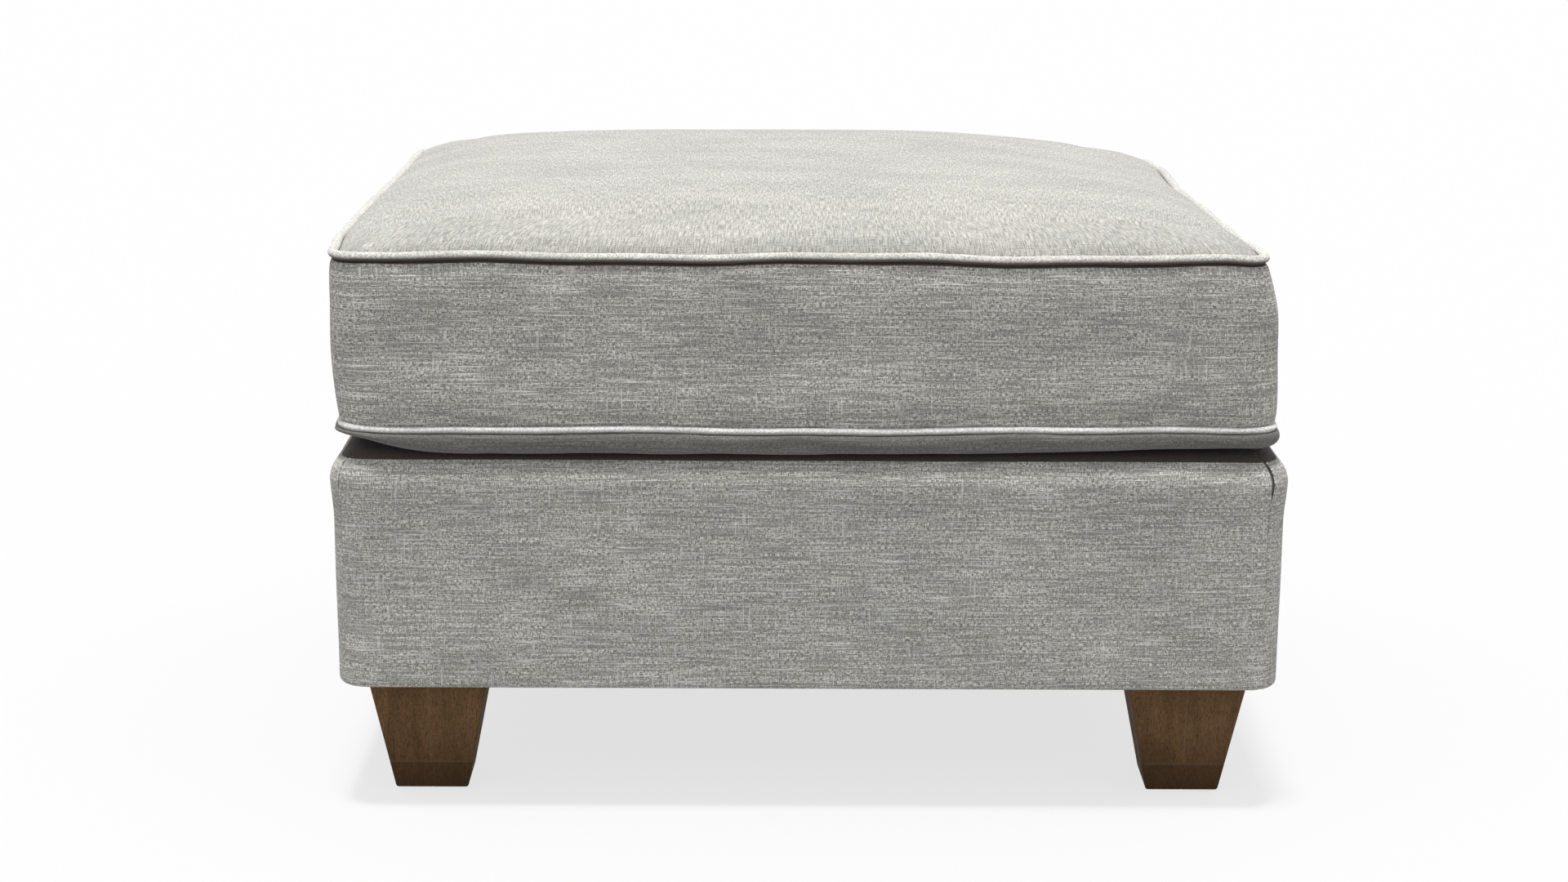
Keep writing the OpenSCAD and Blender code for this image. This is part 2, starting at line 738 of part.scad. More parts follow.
// Solid section of the cushion's underside, drawn in by d, from the seam down to the deck
module belly_section(d, top) {
    low = cushion_z + belly_r;
    translate([0, low]) square([rim_x - d, top - low]);
    intersection() {
        translate([rim_x - belly_r, low]) circle(belly_r - d);
        translate([0, cushion_z]) square([rim_x, belly_r]);
    }
    translate([0, cushion_z + d]) square([rim_x - belly_r, belly_r - d + eps]);
}

// Cloth tray of the cushion's underside
module cushion_bottom_panel() {
    color(cloth_c) {
        ring(seam_axis_x, seam_axis_y) difference() {
            belly_section(0, low_seam_z);
            belly_section(cloth_t, low_seam_z + 1);
        }
        translate([-seam_axis_x, -seam_axis_y, cushion_z])
            cube([2 * seam_axis_x, 2 * seam_axis_y, cloth_t]);
    }
}

// Fibre between the foam core and the bottom panel
module fibre_wrap_bottom() {
    top = low_seam_z + welt_r + soft_gap;
    color(fibre_c)
        rounded_block(seam_axis_x, seam_axis_y, cushion_z + cloth_t, top) belly_section(cloth_t, top);
}

// Section of the boxing between the radii in and out of its bulge, from zl to zh about its middle
module boxing_section(in, out, zl, zh) {
    intersection() {
        translate([boxing_cx, mid_z]) difference() {
            circle(out, $fn = 720);
            if (in > 0) circle(in, $fn = 720);
        }
        translate([0, mid_z + zl]) square([2 * cushion_corner_r, zh - zl]);
    }
}

// Boxing strip round the front, the two sides and the corners
module cushion_boxing() {
    back_x = seam_axis_x;
    color(cloth_c) difference() {
        ring(seam_axis_x, seam_axis_y) boxing_section(boxing_r - cloth_t, boxing_r, -boxing_h, boxing_h);
        translate([-back_x, 0, low_seam_z]) cube([2 * back_x, base_d, cushion_h]);
    }
}

// Strip of the back boxing from the middle upwards, cut back along the zip to leave its slot
module back_strip() {
    color(cloth_c) difference() {
        rotate([0, 0, 180])
            run(2 * (seam_axis_x - strip_end_gap), seam_axis_y)
                boxing_section(boxing_r - cloth_t, boxing_r, seam_w / 2, boxing_h);
        translate([-zip_l / 2 - zip_end_gap, seam_axis_y, mid_z - zip_slot / 2])
            cube([zip_l + 2 * zip_end_gap, base_d, zip_slot]);
    }
}

module zip_boxing_upper() {
    back_strip();
}

module zip_boxing_lower() {
    translate([0, 0, 2 * mid_z]) mirror([0, 0, 1]) back_strip();
}

// Covering of a welt, round the seam at the height z
module welt(z) {
    color(cloth_c) ring(seam_axis_x, seam_axis_y) translate([cushion_corner_r, z]) difference() {
        circle(welt_r, $fn = 32);
        circle(cord_r, $fn = 32);
    }
}

// Cord inside a welt
module welt_cord(z) {
    color(fibre_c) ring(seam_axis_x, seam_axis_y) translate([cushion_corner_r, z]) circle(cord_r, $fn = 32);
}

module top_welt() {
    welt(top_seam_z);
}

module bottom_welt() {
    welt(low_seam_z);
}

module top_welt_cord() {
    welt_cord(top_seam_z);
}

module bottom_welt_cord() {
    welt_cord(low_seam_z);
}

// Tape of the zip behind the two back strips
module zip_tape() {
    l = zip_l + 2 * tape_end;
    color(nylon_c) translate([-l / 2, tape_y - tape_t, mid_z - tape_w / 2]) cube([l, tape_t, tape_w]);
}

// Closed coil of the zip as two rows of short bars that lock in the middle
module zip_teeth() {
    count = floor(zip_l / (2 * tooth_pitch));
    color(nylon_c) translate([-zip_l / 2, teeth_y, mid_z - teeth_w / 2]) {
        cube([zip_l, coil_core * teeth_t, teeth_w]);
        for (i = [0:2:count - 1])
            translate([2 * i * tooth_pitch, 0, 0]) cube([2 * tooth_pitch, teeth_t, teeth_w]);
    }
}

// Slider without a pull: a plate outside the strips with two flanges that run beside the teeth
module zip_slider() {
    flange_z = teeth_w / 2 + slide_gap;
    color(steel_c) translate([slider_x, 0, mid_z]) {
        translate([-slider_l / 2, slider_y, -slider_w / 2]) cube([slider_l, slider_t, slider_w]);
        for (s = [0, 1]) mirror([0, 0, s])
            translate([-slider_l / 2, tape_y + slide_gap, flange_z])
                cube([slider_l, slider_y - tape_y - slide_gap + eps, slider_flange_t]);
        translate([-slider_l / 4, slider_y + slider_t - eps, -ridge_w / 2])
            cube([slider_l / 2, ridge_t, ridge_w]);
    }
}

// Foam core with sides that follow the bulge of the boxing and a channel for the zip
module foam_core() {
    r = boxing_r - cloth_t - soft_gap;
    color(foam_c) difference() {
        rounded_block(seam_axis_x, seam_axis_y, mid_z - boxing_h, mid_z + boxing_h)
            boxing_section(0, r, -boxing_h, boxing_h);
        translate([-zip_l / 2 - tape_end - channel_gap, boxing_y - channel_d, mid_z - tape_w / 2 - channel_gap])
            cube([zip_l + 2 * (tape_end + channel_gap), 2 * channel_d, tape_w + 2 * channel_gap]);
    }
}

cover_front();
cover_back();
cover_left();
cover_right();
deck_cloth();
deck_foam();
spring_cover();
edge_roll();
frame_padding();
rail_front();
rail_back();
rail_left();
rail_right();
corner_block(-1, -1);  // corner_block_front_left
corner_block(1, -1);  // corner_block_front_right
corner_block(-1, 1);  // corner_block_back_left
corner_block(1, 1);  // corner_block_back_right
rail_screws();
block_screws();
sinuous_spring(1);  // spring_1
sinuous_spring(2);  // spring_2
sinuous_spring(3);  // spring_3
sinuous_spring(4);  // spring_4
sinuous_spring(5);  // spring_5
spring_clips();
clip_nails();
stay_wires();
dust_cover();
leg(-1, -1);  // leg_front_left
leg(1, -1);  // leg_front_right
leg(-1, 1);  // leg_back_left
leg(1, 1);  // leg_back_right
hanger_bolts();
t_nuts();
glides();
cushion_top_panel();
cushion_bottom_panel();
cushion_boxing();
zip_boxing_upper();
zip_boxing_lower();
top_welt();
bottom_welt();
top_welt_cord();
bottom_welt_cord();
zip_tape();
zip_teeth();
zip_slider();
fibre_wrap_top();
fibre_wrap_bottom();
foam_core();
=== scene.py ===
"""Looks of an upholstered ottoman: a loose welted box cushion on a sprung base with four block legs.

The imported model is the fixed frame. Everything is in metres, with the floor at z = 0, the width along
X, the front towards -Y and Z up. Every surface is worked out with numpy as whole arrays.
"""
import logging
import math
from dataclasses import dataclass, field
from enum import Enum

import bpy
import numpy as np
from mathutils import Matrix, Vector


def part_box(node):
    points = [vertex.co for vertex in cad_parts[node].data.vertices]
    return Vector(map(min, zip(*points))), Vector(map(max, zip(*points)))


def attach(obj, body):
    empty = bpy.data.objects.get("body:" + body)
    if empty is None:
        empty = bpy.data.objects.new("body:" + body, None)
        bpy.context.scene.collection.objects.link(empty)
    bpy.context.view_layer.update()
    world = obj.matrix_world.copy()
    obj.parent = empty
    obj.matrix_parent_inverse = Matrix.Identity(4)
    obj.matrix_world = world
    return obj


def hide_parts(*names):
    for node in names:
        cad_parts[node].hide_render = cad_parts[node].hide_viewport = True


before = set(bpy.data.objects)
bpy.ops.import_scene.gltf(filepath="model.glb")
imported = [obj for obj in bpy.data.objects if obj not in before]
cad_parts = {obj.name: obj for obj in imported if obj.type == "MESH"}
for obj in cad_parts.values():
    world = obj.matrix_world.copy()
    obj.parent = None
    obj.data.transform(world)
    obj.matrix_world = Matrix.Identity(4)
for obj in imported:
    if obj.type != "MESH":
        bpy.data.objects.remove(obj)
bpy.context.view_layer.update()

Array = np.ndarray
Colour = tuple[float, float, float]
QUARTERS = ((1, 0), (0, 1), (-1, 0), (0, -1))  # cosine and sine of no, one, two and three quarter turns
log = logging.getLogger("ottoman")


class Side(Enum):
    """A side of the ottoman, with the quarter turns from the front."""

    FRONT = 0
    RIGHT = 1
    BACK = 2
    LEFT = 3


class Body(Enum):
    """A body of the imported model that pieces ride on."""

    BASE = "base"
    CUSHION = "cushion"


# ---------------------------------------------------------------------------------------------
# Small helpers of shape
# ---------------------------------------------------------------------------------------------


def smooth_step(x: Array | float, low: float, high: float) -> Array:
    """Rises from 0 at low to 1 at high along 3t^2 - 2t^3.

    Args:
        x: where to take it.
        low: the value of x where the step starts.
        high: the value of x where it ends.

    Returns:
        The step's height at x.
    """
    t = np.clip((np.asarray(x, float) - low) / (high - low), 0.0, 1.0)
    return t * t * (3.0 - 2.0 * t)


def bell(*parts: tuple[Array, float, float]) -> Array:
    """Falls from 1 at a middle: exp of minus the sum of ((value - middle) / width) squared over the parts.

    Args:
        parts: each part's values, middle and width.

    Returns:
        The bell's height at each value.
    """
    return np.exp(-sum(((value - middle) / width) ** 2 for value, middle, width in parts))


def ripple(s: Array, waves: tuple[tuple[float, float, float], ...]) -> Array:
    """Sum of sine waves of s.

    Args:
        s: distance in metres.
        waves: each wave's height, length and phase in turns.

    Returns:
        The sum at s.
    """
    total = np.zeros_like(np.asarray(s, float))
    for height, length, phase in waves:
        total = total + height * np.sin(2 * np.pi * (s / length + phase))
    return total


def turned(points: Array, quarter_turns: int) -> Array:
    """Points turned about Z by quarter turns, counter-clockwise seen from above.

    Args:
        points: (..., 3) places.
        quarter_turns: how many right angles, 0 to 3.

    Returns:
        The turned places.
    """
    c, s = QUARTERS[quarter_turns]
    x, y, z = points[..., 0], points[..., 1], points[..., 2]
    return np.stack([c * x - s * y, s * x + c * y, z], axis=-1)


def grid_quads(rows: int, cols: int, wrap: bool = False) -> Array:
    """Quads of a grid of points numbered row by row.

    Args:
        rows: rows of points.
        cols: points in a row.
        wrap: True where the last column joins the first.

    Returns:
        (n, 4) point numbers, turning from a column to the next, then to the next row.
    """
    i, j = np.meshgrid(np.arange(rows - 1), np.arange(cols if wrap else cols - 1), indexing="ij")
    k = (j + 1) % cols
    return np.stack([i * cols + j, i * cols + k, (i + 1) * cols + k, (i + 1) * cols + j], axis=-1).reshape(-1, 4)


def point_normals(points: Array, faces: Array) -> Array:
    """Directions of a quad mesh at its points: each quad's diagonals crossed, summed over the quads that meet.

    Args:
        points: (n, 3) places.
        faces: (m, 4) point numbers.

    Returns:
        (n, 3) unit directions.
    """
    corner = points[faces]
    lean = np.cross(corner[:, 2] - corner[:, 0], corner[:, 3] - corner[:, 1])
    total = np.zeros_like(points)
    for k in range(4):
        np.add.at(total, faces[:, k], lean)
    return total / np.maximum(np.linalg.norm(total, axis=1, keepdims=True), 1e-12)


def run_lengths(path: Array) -> Array:
    """Distances along a path of (n, 3) or (n, 2) points, from 0 at its first point.

    Args:
        path: the points.

    Returns:
        (n,) distances.
    """
    return np.concatenate([[0.0], np.cumsum(np.linalg.norm(np.diff(path, axis=0), axis=1))])


def round_rectangle(half_x: float, half_y: float, at: Array) -> tuple[Array, Array]:
    """Walks round a rectangle, from its front left corner counter-clockwise.

    Args:
        half_x: half its width.
        half_y: half its depth.
        at: (n,) distances walked.

    Returns:
        (n, 3) places at height 0, and (n, 3) short steps ahead from them.
    """
    corners = np.array([[-1, -1], [1, -1], [1, 1], [-1, 1], [-1, -1]]) * [half_x, half_y]
    walk = run_lengths(corners)
    place, ahead = (np.stack([np.interp(s, walk, corners[:, c]) for c in range(2)] + [np.zeros(len(at))], 1)
                    for s in (at, at + 0.0005))
    return place, ahead - place


def vertex_places(mesh: bpy.types.Mesh) -> Array:
    """Reads the places of a mesh's vertices.

    Args:
        mesh: the mesh.

    Returns:
        (n, 3) places.
    """
    places = np.empty(len(mesh.vertices) * 3, np.float32)
    mesh.vertices.foreach_get("co", places)
    return places.reshape(-1, 3)


def mesh_object(name: str, points: Array, faces: Array | list[list[int]], uv: Array | None = None,
                smooth: bool = True) -> bpy.types.Object:
    """Makes a mesh object at the origin.

    Args:
        name: the piece's name.
        points: (n, 3) vertices.
        faces: vertex numbers of each face.
        uv: places in the cloth or board, in metres, for each corner of each face in turn.
        smooth: True for smooth shading.

    Returns:
        The new object.
    """
    mesh = bpy.data.meshes.new(name)
    mesh.from_pydata(points.tolist(), [], faces if isinstance(faces, list) else faces.tolist())
    if uv is not None:
        layer = mesh.uv_layers.new(name="cloth")
        layer.data.foreach_set("uv", np.asarray(uv, np.float32).ravel())
    mesh.polygons.foreach_set("use_smooth", np.full(len(mesh.polygons), smooth))
    mesh.validate()
    mesh.update()
    piece = bpy.data.objects.new(name, mesh)
    bpy.context.scene.collection.objects.link(piece)
    return piece


def add_wall(piece: bpy.types.Object, thickness: float, rounded: bool = True) -> None:
    """Gives a surface a wall on its inner side, then rounds it off with one level of Catmull-Clark subdivision.

    Args:
        piece: the surface.
        thickness: the wall's thickness.
        rounded: False leaves the subdivision out.
    """
    wall = piece.modifiers.new("wall", "SOLIDIFY")
    wall.thickness = thickness
    wall.offset = -1.0
    wall.use_even_offset = False
    wall.use_rim = True
    if rounded:
        sub = piece.modifiers.new("round", "SUBSURF")
        sub.levels = sub.render_levels = 1
        sub.boundary_smooth = "PRESERVE_CORNERS"


def surface(name: str, points: Array, uv: Array, flip: bool = False) -> bpy.types.Object:
    """Makes an object from a grid of points.

    Args:
        name: the piece's name.
        points: (rows, cols, 3) places.
        uv: (rows, cols, 2) places in the cloth.
        flip: True turns the faces round.

    Returns:
        The new object.
    """
    faces = grid_quads(*points.shape[:2])
    if flip:
        faces = faces[:, ::-1]
    return mesh_object(name, points.reshape(-1, 3), faces, uv.reshape(-1, 2)[faces])


def tube(name: str, path: Array, radius: float | Array, steps: int) -> bpy.types.Object:
    """Carries a circle along a closed path: each ring stands square to the path, with its start towards +Z.

    Args:
        name: the piece's name.
        path: (n, 3) places along the middle.
        radius: one radius, or (n, steps) radii.
        steps: points round the circle.

    Returns:
        The new object, with U along the path and V round it.
    """
    ahead = np.roll(path, -1, 0) - np.roll(path, 1, 0)
    ahead /= np.linalg.norm(ahead, axis=1, keepdims=True)
    side = np.cross(ahead, [0.0, 0.0, 1.0])
    side /= np.linalg.norm(side, axis=1, keepdims=True)
    up = np.cross(side, ahead)
    a = np.linspace(0, 2 * np.pi, steps, endpoint=False)
    r = np.broadcast_to(radius, (len(path), steps))[..., None]
    rings = path[:, None] + r * (side[:, None] * np.sin(a)[None, :, None] + up[:, None] * np.cos(a)[None, :, None])
    s = run_lengths(np.vstack([path, path[:1]]))
    v = np.linspace(0, 2 * np.pi, steps + 1) * float(np.mean(radius))
    i, j = np.meshgrid(np.arange(len(rings)), np.arange(steps), indexing="ij")
    i2, j2 = (i + 1) % len(rings), (j + 1) % steps
    faces = np.stack([i * steps + j, i2 * steps + j, i2 * steps + j2, i * steps + j2], -1).reshape(-1, 4)
    uv = np.stack([np.stack([s[i], v[j]], -1), np.stack([s[i + 1], v[j]], -1),
                   np.stack([s[i + 1], v[j + 1]], -1), np.stack([s[i], v[j + 1]], -1)], 2).reshape(-1, 4, 2)
    return mesh_object(name, rings.reshape(-1, 3), faces, uv)


def capsules(name: str, middle: Array, along: Array, up: Array, length: float, radius: float) -> bpy.types.Object:
    """Short rounded rods, such as stitches, all in one mesh: each is a six-sided barrel drawn in at its ends.

    Args:
        name: the piece's name.
        middle: (n, 3) middles.
        along: (n, 3) directions of the rods.
        up: (n, 3) directions away from the cloth.
        length: a rod's whole length.
        radius: a rod's radius.

    Returns:
        The new object.
    """
    along = along / np.linalg.norm(along, axis=1, keepdims=True)
    side = np.cross(along, up)
    side /= np.linalg.norm(side, axis=1, keepdims=True)
    up = np.cross(side, along)
    steps = 6
    along, side, up, middle = (each[:, None, None] for each in (along, side, up, middle))
    ends = (np.array([-0.5, -0.38, -0.15, 0.15, 0.38, 0.5]) * length)[:, None, None]
    girth = (np.array([0.25, 0.75, 1.0, 1.0, 0.75, 0.25]) * radius)[:, None, None]
    sink = (np.array([-1.2, -0.5, 0.0, 0.0, -0.5, -1.2]) * radius)[:, None, None]
    a = np.linspace(0, 2 * np.pi, steps, endpoint=False)[:, None]
    rings = middle + along * ends + up * (sink + girth * np.cos(a)) + side * girth * np.sin(a)
    start = np.arange(len(rings))[:, None] * len(ends) * steps
    faces = (start[:, None] + grid_quads(len(ends), steps, wrap=True)[:, ::-1]).reshape(-1, 4).tolist()
    first_cap = (start + np.arange(steps)).tolist()
    last_cap = (start + (len(ends) - 1) * steps + np.arange(steps)[::-1]).tolist()
    return mesh_object(name, rings.reshape(-1, 3), faces + first_cap + last_cap)


# ---------------------------------------------------------------------------------------------
# Finishes
# ---------------------------------------------------------------------------------------------


def tint(colour: Colour, by: float) -> Colour:
    """A colour made darker or paler, with no channel above 0.9."""
    return tuple(min(c * by, 0.9) for c in colour)


class Tree:
    """A node tree, built up in short calls."""

    def __init__(self, tree: bpy.types.NodeTree) -> None:
        """Takes hold of the tree's nodes and links."""
        self.nodes, self.links = tree.nodes, tree.links

    def put(self, socket: bpy.types.NodeSocket, value: bpy.types.NodeSocket | float | Colour) -> None:
        """Links a socket to an output, or sets its number.

        Args:
            socket: the input.
            value: the output, or the number.
        """
        if isinstance(value, bpy.types.NodeSocket):
            self.links.new(value, socket)
        else:
            socket.default_value = value

    def sum(self, operation: str, a: bpy.types.NodeSocket | float,
            b: bpy.types.NodeSocket | float = 0.0) -> bpy.types.NodeSocket:
        """One step of arithmetic on two numbers.

        Args:
            operation: the operation, as Blender names it.
            a: the first number.
            b: the second number, where the operation has one.

        Returns:
            The result.
        """
        node = self.nodes.new("ShaderNodeMath")
        node.operation = operation
        self.put(node.inputs[0], a)
        self.put(node.inputs[1], b)
        return node.outputs[0]

    def seen(self) -> bpy.types.NodeSocket:
        """Tells what the camera sees from what only lights other surfaces.

        Returns:
            1 for rays from the camera, from gloss or through glass, and 0 for light on its way to a surface.
        """
        path = self.nodes.new("ShaderNodeLightPath")
        both = self.sum("MAXIMUM", path.outputs["Is Camera Ray"], path.outputs["Is Glossy Ray"])
        return self.sum("MAXIMUM", both, path.outputs["Is Transmission Ray"])


class Graph(Tree):
    """The node tree of one material."""

    def __init__(self, name: str, colour: Colour, roughness: float) -> None:
        """Starts a material with a Principled shader.

        Args:
            name: the material's name.
            colour: base colour until a link replaces it.
            roughness: roughness until a link replaces it.
        """
        self.material = bpy.data.materials.new(name)
        self.material.use_nodes = True
        super().__init__(self.material.node_tree)
        self.shader = self.nodes["Principled BSDF"]
        self.shader.inputs["Base Color"].default_value = (*colour, 1.0)
        self.shader.inputs["Roughness"].default_value = roughness

    def coordinate(self, kind: str, scale: tuple[float, float, float], turn: float = 0.0,
                   shift: Colour = (0.0, 0.0, 0.0)) -> bpy.types.NodeSocket:
        """Scaled coordinates.

        Args:
            kind: "UV" or "Object".
            scale: how many units a metre makes along each axis.
            turn: degrees to turn the pattern by.
            shift: where the pattern starts.

        Returns:
            The output with the coordinates.
        """
        source = self.nodes.new("ShaderNodeTexCoord")
        if turn:
            first = self.nodes.new("ShaderNodeMapping")
            first.inputs["Rotation"].default_value = (0.0, 0.0, math.radians(turn))
            self.links.new(source.outputs[kind], first.inputs["Vector"])
            out = first.outputs["Vector"]
        else:
            out = source.outputs[kind]
        mapping = self.nodes.new("ShaderNodeMapping")
        mapping.inputs["Scale"].default_value = scale
        mapping.inputs["Location"].default_value = shift
        self.links.new(out, mapping.inputs["Vector"])
        return mapping.outputs["Vector"]

    def even(self, scale: float, turn: float = 0.0) -> bpy.types.NodeSocket:
        """Object coordinates with the same number of units in a metre along all three axes."""
        return self.coordinate("Object", (scale, scale, scale), turn)

    def split(self, vector: bpy.types.NodeSocket) -> bpy.types.NodeOutputs:
        """Takes a vector apart.

        Args:
            vector: output with the vector.

        Returns:
            Outputs with its three numbers.
        """
        parts = self.nodes.new("ShaderNodeSeparateXYZ")
        self.links.new(vector, parts.inputs[0])
        return parts.outputs

    def in_cloth(self) -> bpy.types.NodeOutputs:
        """Outputs with the place in the cloth or board, U and V, in metres."""
        return self.split(self.coordinate("UV", (1.0, 1.0, 1.0)))

    def noise(self, vector: bpy.types.NodeSocket, detail: float = 2.0, roughness: float = 0.5,
              distortion: float = 0.0) -> bpy.types.NodeSocket:
        """Noise with one feature for each unit of the coordinates.

        Args:
            vector: output with the coordinates.
            detail: how many finer noises are added to it.
            roughness: how strong each of those is, against the one before.
            distortion: how far it is pushed about.

        Returns:
            A number near 0.5, from 0 to 1.
        """
        node = self.nodes.new("ShaderNodeTexNoise")
        node.inputs["Scale"].default_value = 1.0
        node.inputs["Detail"].default_value = detail
        node.inputs["Roughness"].default_value = roughness
        node.inputs["Distortion"].default_value = distortion
        self.links.new(vector, node.inputs["Vector"])
        return node.outputs["Fac"]

    def span(self, value: bpy.types.NodeSocket, low: float, high: float, to_low: float = 0.0,
             to_high: float = 1.0) -> bpy.types.NodeSocket:
        """Carries a number from one span to another, smoothly and without going past its ends.

        Args:
            value: output with the number.
            low: where the span starts.
            high: where it ends.
            to_low: the result up to low.
            to_high: the result from high on.

        Returns:
            The result.
        """
        node = self.nodes.new("ShaderNodeMapRange")
        node.interpolation_type = "SMOOTHSTEP"
        for socket, number in zip(node.inputs[1:5], (low, high, to_low, to_high)):
            socket.default_value = number
        self.links.new(value, node.inputs[0])
        return node.outputs[0]

    def blend(self, share: bpy.types.NodeSocket | float, a: bpy.types.NodeSocket | Colour,
              b: bpy.types.NodeSocket | Colour, kind: str = "MIX") -> bpy.types.NodeSocket:
        """Mixes two colours, each given as three numbers or an output.

        Args:
            share: how much of the second one, from 0 to 1.
            a: the first colour.
            b: the second colour.
            kind: the way of mixing, as Blender names it.

        Returns:
            The mixed colour.
        """
        node = self.nodes.new("ShaderNodeMix")
        node.data_type = "RGBA"
        node.blend_type = kind
        self.put(node.inputs[0], share)
        for socket, value in ((node.inputs[6], a), (node.inputs[7], b)):
            self.put(socket, value if isinstance(value, bpy.types.NodeSocket) else (*value, 1.0))
        return node.outputs[2]

    def wave(self, vector: bpy.types.NodeSocket, axis: int) -> bpy.types.NodeSocket:
        """Sine of a coordinate, one turn for each unit."""
        return self.sum("SINE", self.sum("MULTIPLY", self.split(vector)[axis], 2 * math.pi))

    def bump(self, height: bpy.types.NodeSocket, depth: float,
             before: bpy.types.NodeSocket | None = None) -> bpy.types.NodeSocket:
        """Lays a bump over an earlier one.

        Args:
            height: output with the height, from 0 to 1.
            depth: how deep that is, in metres.
            before: the normal of the earlier bump.

        Returns:
            The normal.
        """
        node = self.nodes.new("ShaderNodeBump")
        node.inputs["Distance"].default_value = depth
        node.inputs["Strength"].default_value = 1.0
        self.links.new(height, node.inputs["Height"])
        if before is not None:
            self.links.new(before, node.inputs["Normal"])
        return node.outputs["Normal"]

    def finish(self, colour: bpy.types.NodeSocket | None = None, normal: bpy.types.NodeSocket | None = None,
               roughness: bpy.types.NodeSocket | None = None, **numbers: float) -> bpy.types.Material:
        """Joins the shader's inputs.

        Args:
            colour: output for the base colour.
            normal: output for the normal.
            roughness: output for the roughness.
            numbers: shader inputs that are the same all over, with _ for a space.

        Returns:
            The finished material.
        """
        for name, value in (("Base Color", colour), ("Normal", normal), ("Roughness", roughness)):
            if value is not None:
                self.links.new(value, self.shader.inputs[name])
        for name, number in numbers.items():
            self.shader.inputs[name.replace("_", " ")].default_value = number
        return self.material


@dataclass(frozen=True)
class LinenFinish:
    """Plain-woven linen look: fine crossing threads with thicker, lighter slubs along both directions."""

    name: str
    colour: Colour = (0.428, 0.420, 0.391)
    weft_slubs: float = 1.0
    warp_slubs: float = 0.35
    warp_share: float = 0.48
    warp_length: float = 0.0032
    contrast: float = 1.0
    relief: float = 1.0
    turn: float = 0.0
    thread: float = 0.00115
    shift: float = 0.0
    mottle: float = 0.30
    # The last three fields paint shade into the cloth's colour: where it starts along V, its dark colour, and a
    # band round a welt's girth.
    painted_shade_from: float = 0.0
    painted_shade_colour: Colour = (0.078, 0.064, 0.052)
    painted_shade_band: tuple[float, ...] = ()

    def make(self) -> bpy.types.Material:
        """Builds the material: thread waves, crossing noise, long rows, slubs along both ways and a slow mottle.

        Where a start V more than 0 is given, the cloth past that V takes the dark shade colour: painted shade in
        the slot under the top welt and on the top of the base's shoulder, in the gap under the cushion. Where a
        band of four Vs is given, the cloth darkens to that colour between the first two and clears between the last
        two: painted shade round the underside of a welt.

        Returns:
            The material.
        """
        g = Graph(self.name, self.colour, 0.92)
        at = (self.shift, self.shift * 0.7, 0.0)

        def cloth(u: float, v: float) -> bpy.types.NodeSocket:
            """Cloth coordinates whose unit is u metres along the weft and v across it."""
            return g.coordinate("UV", (1.0 / u, 1.0 / v, 1.0), self.turn, at)

        def shade(share: float) -> Colour:
            """The cloth's colour, made darker or paler by the contrast."""
            return tuple(min(c * (1 + (share - 1) * self.contrast), 0.88) for c in self.colour)

        # The weave, and the noise of single threads both ways.
        fine = cloth(self.thread * 2, self.thread * 2)
        weave = g.sum("MULTIPLY", g.wave(fine, 0), g.wave(fine, 1))
        weave = g.sum("ADD", g.sum("MULTIPLY", weave, 0.5), 0.5)
        weft = g.noise(cloth(0.0030, 0.0009), 2.0, 0.6)
        warp = g.noise(cloth(0.0009, self.warp_length), 2.0, 0.6)
        grain = g.sum("ADD", g.sum("MULTIPLY", weft, 1 - self.warp_share), g.sum("MULTIPLY", warp, self.warp_share))
        # Long darker rows and columns, thicker slubs, thin dark lines and slow clouds.
        rows = g.noise(cloth(0.050, 0.0018), 1.5, 0.5)
        columns = g.noise(cloth(0.0019, 0.034), 1.5, 0.5)
        long_weft = g.span(g.noise(cloth(0.042, 0.0015), 1.5, 0.5), 0.57, 0.69)
        long_warp = g.span(g.noise(cloth(0.0016, 0.026), 1.5, 0.5), 0.57, 0.72)
        thin_weft = g.span(g.noise(cloth(0.030, 0.0014), 1.0, 0.5), 0.56, 0.70)
        slubs = g.sum("MAXIMUM", g.sum("MULTIPLY", long_weft, self.weft_slubs),
                      g.sum("MULTIPLY", long_warp, self.warp_slubs))
        mottle = g.noise(cloth(0.110, 0.048), 3.0, 0.55)
        tone = g.blend(g.span(grain, 0.40, 0.60), shade(0.33), shade(1.75))
        tone = g.blend(g.span(rows, 0.36, 0.60, 0.66 * self.weft_slubs, 0.0), tone, shade(0.46))
        tone = g.blend(g.span(columns, 0.36, 0.62, 0.34 * self.warp_slubs, 0.0), tone, shade(0.6))
        tone = g.blend(g.sum("MULTIPLY", thin_weft, 0.36 * self.weft_slubs), tone, shade(0.45))
        tone = g.blend(g.sum("MULTIPLY", slubs, 0.55), tone, shade(1.85))
        tone = g.blend(g.span(mottle, 0.34, 0.66, self.mottle, 0.0), tone, (0.5, 0.5, 0.5), "MULTIPLY")
        # Painted shade round the underside of a welt, between the given Vs round its girth.
        if self.painted_shade_band:
            girth = g.in_cloth()[1]
            painted_shade_in = g.span(girth, *self.painted_shade_band[:2])
            clear = g.span(girth, *self.painted_shade_band[2:], 1.0, 0.0)
            tone = g.blend(g.sum("MULTIPLY", painted_shade_in, clear), tone, self.painted_shade_colour)
        # Painted shade past a V: the slot under the top welt, and the top of the base's shoulder in the gap under
        # the cushion.
        if self.painted_shade_from:
            height = g.in_cloth()[1]
            threads = g.blend(g.span(grain, 0.38, 0.62), tint(self.painted_shade_colour, 0.7), self.painted_shade_colour)
            tone = g.blend(g.span(height, self.painted_shade_from - 0.0005, self.painted_shade_from), tone, threads)
        normal = g.bump(weave, 0.00016 * self.relief)
        normal = g.bump(grain, 0.0006 * self.relief, normal)
        normal = g.bump(slubs, 0.0004 * self.relief, normal)
        return g.finish(tone, normal, Sheen_Weight=0.12, Sheen_Roughness=0.5, Specular_IOR_Level=0.25)


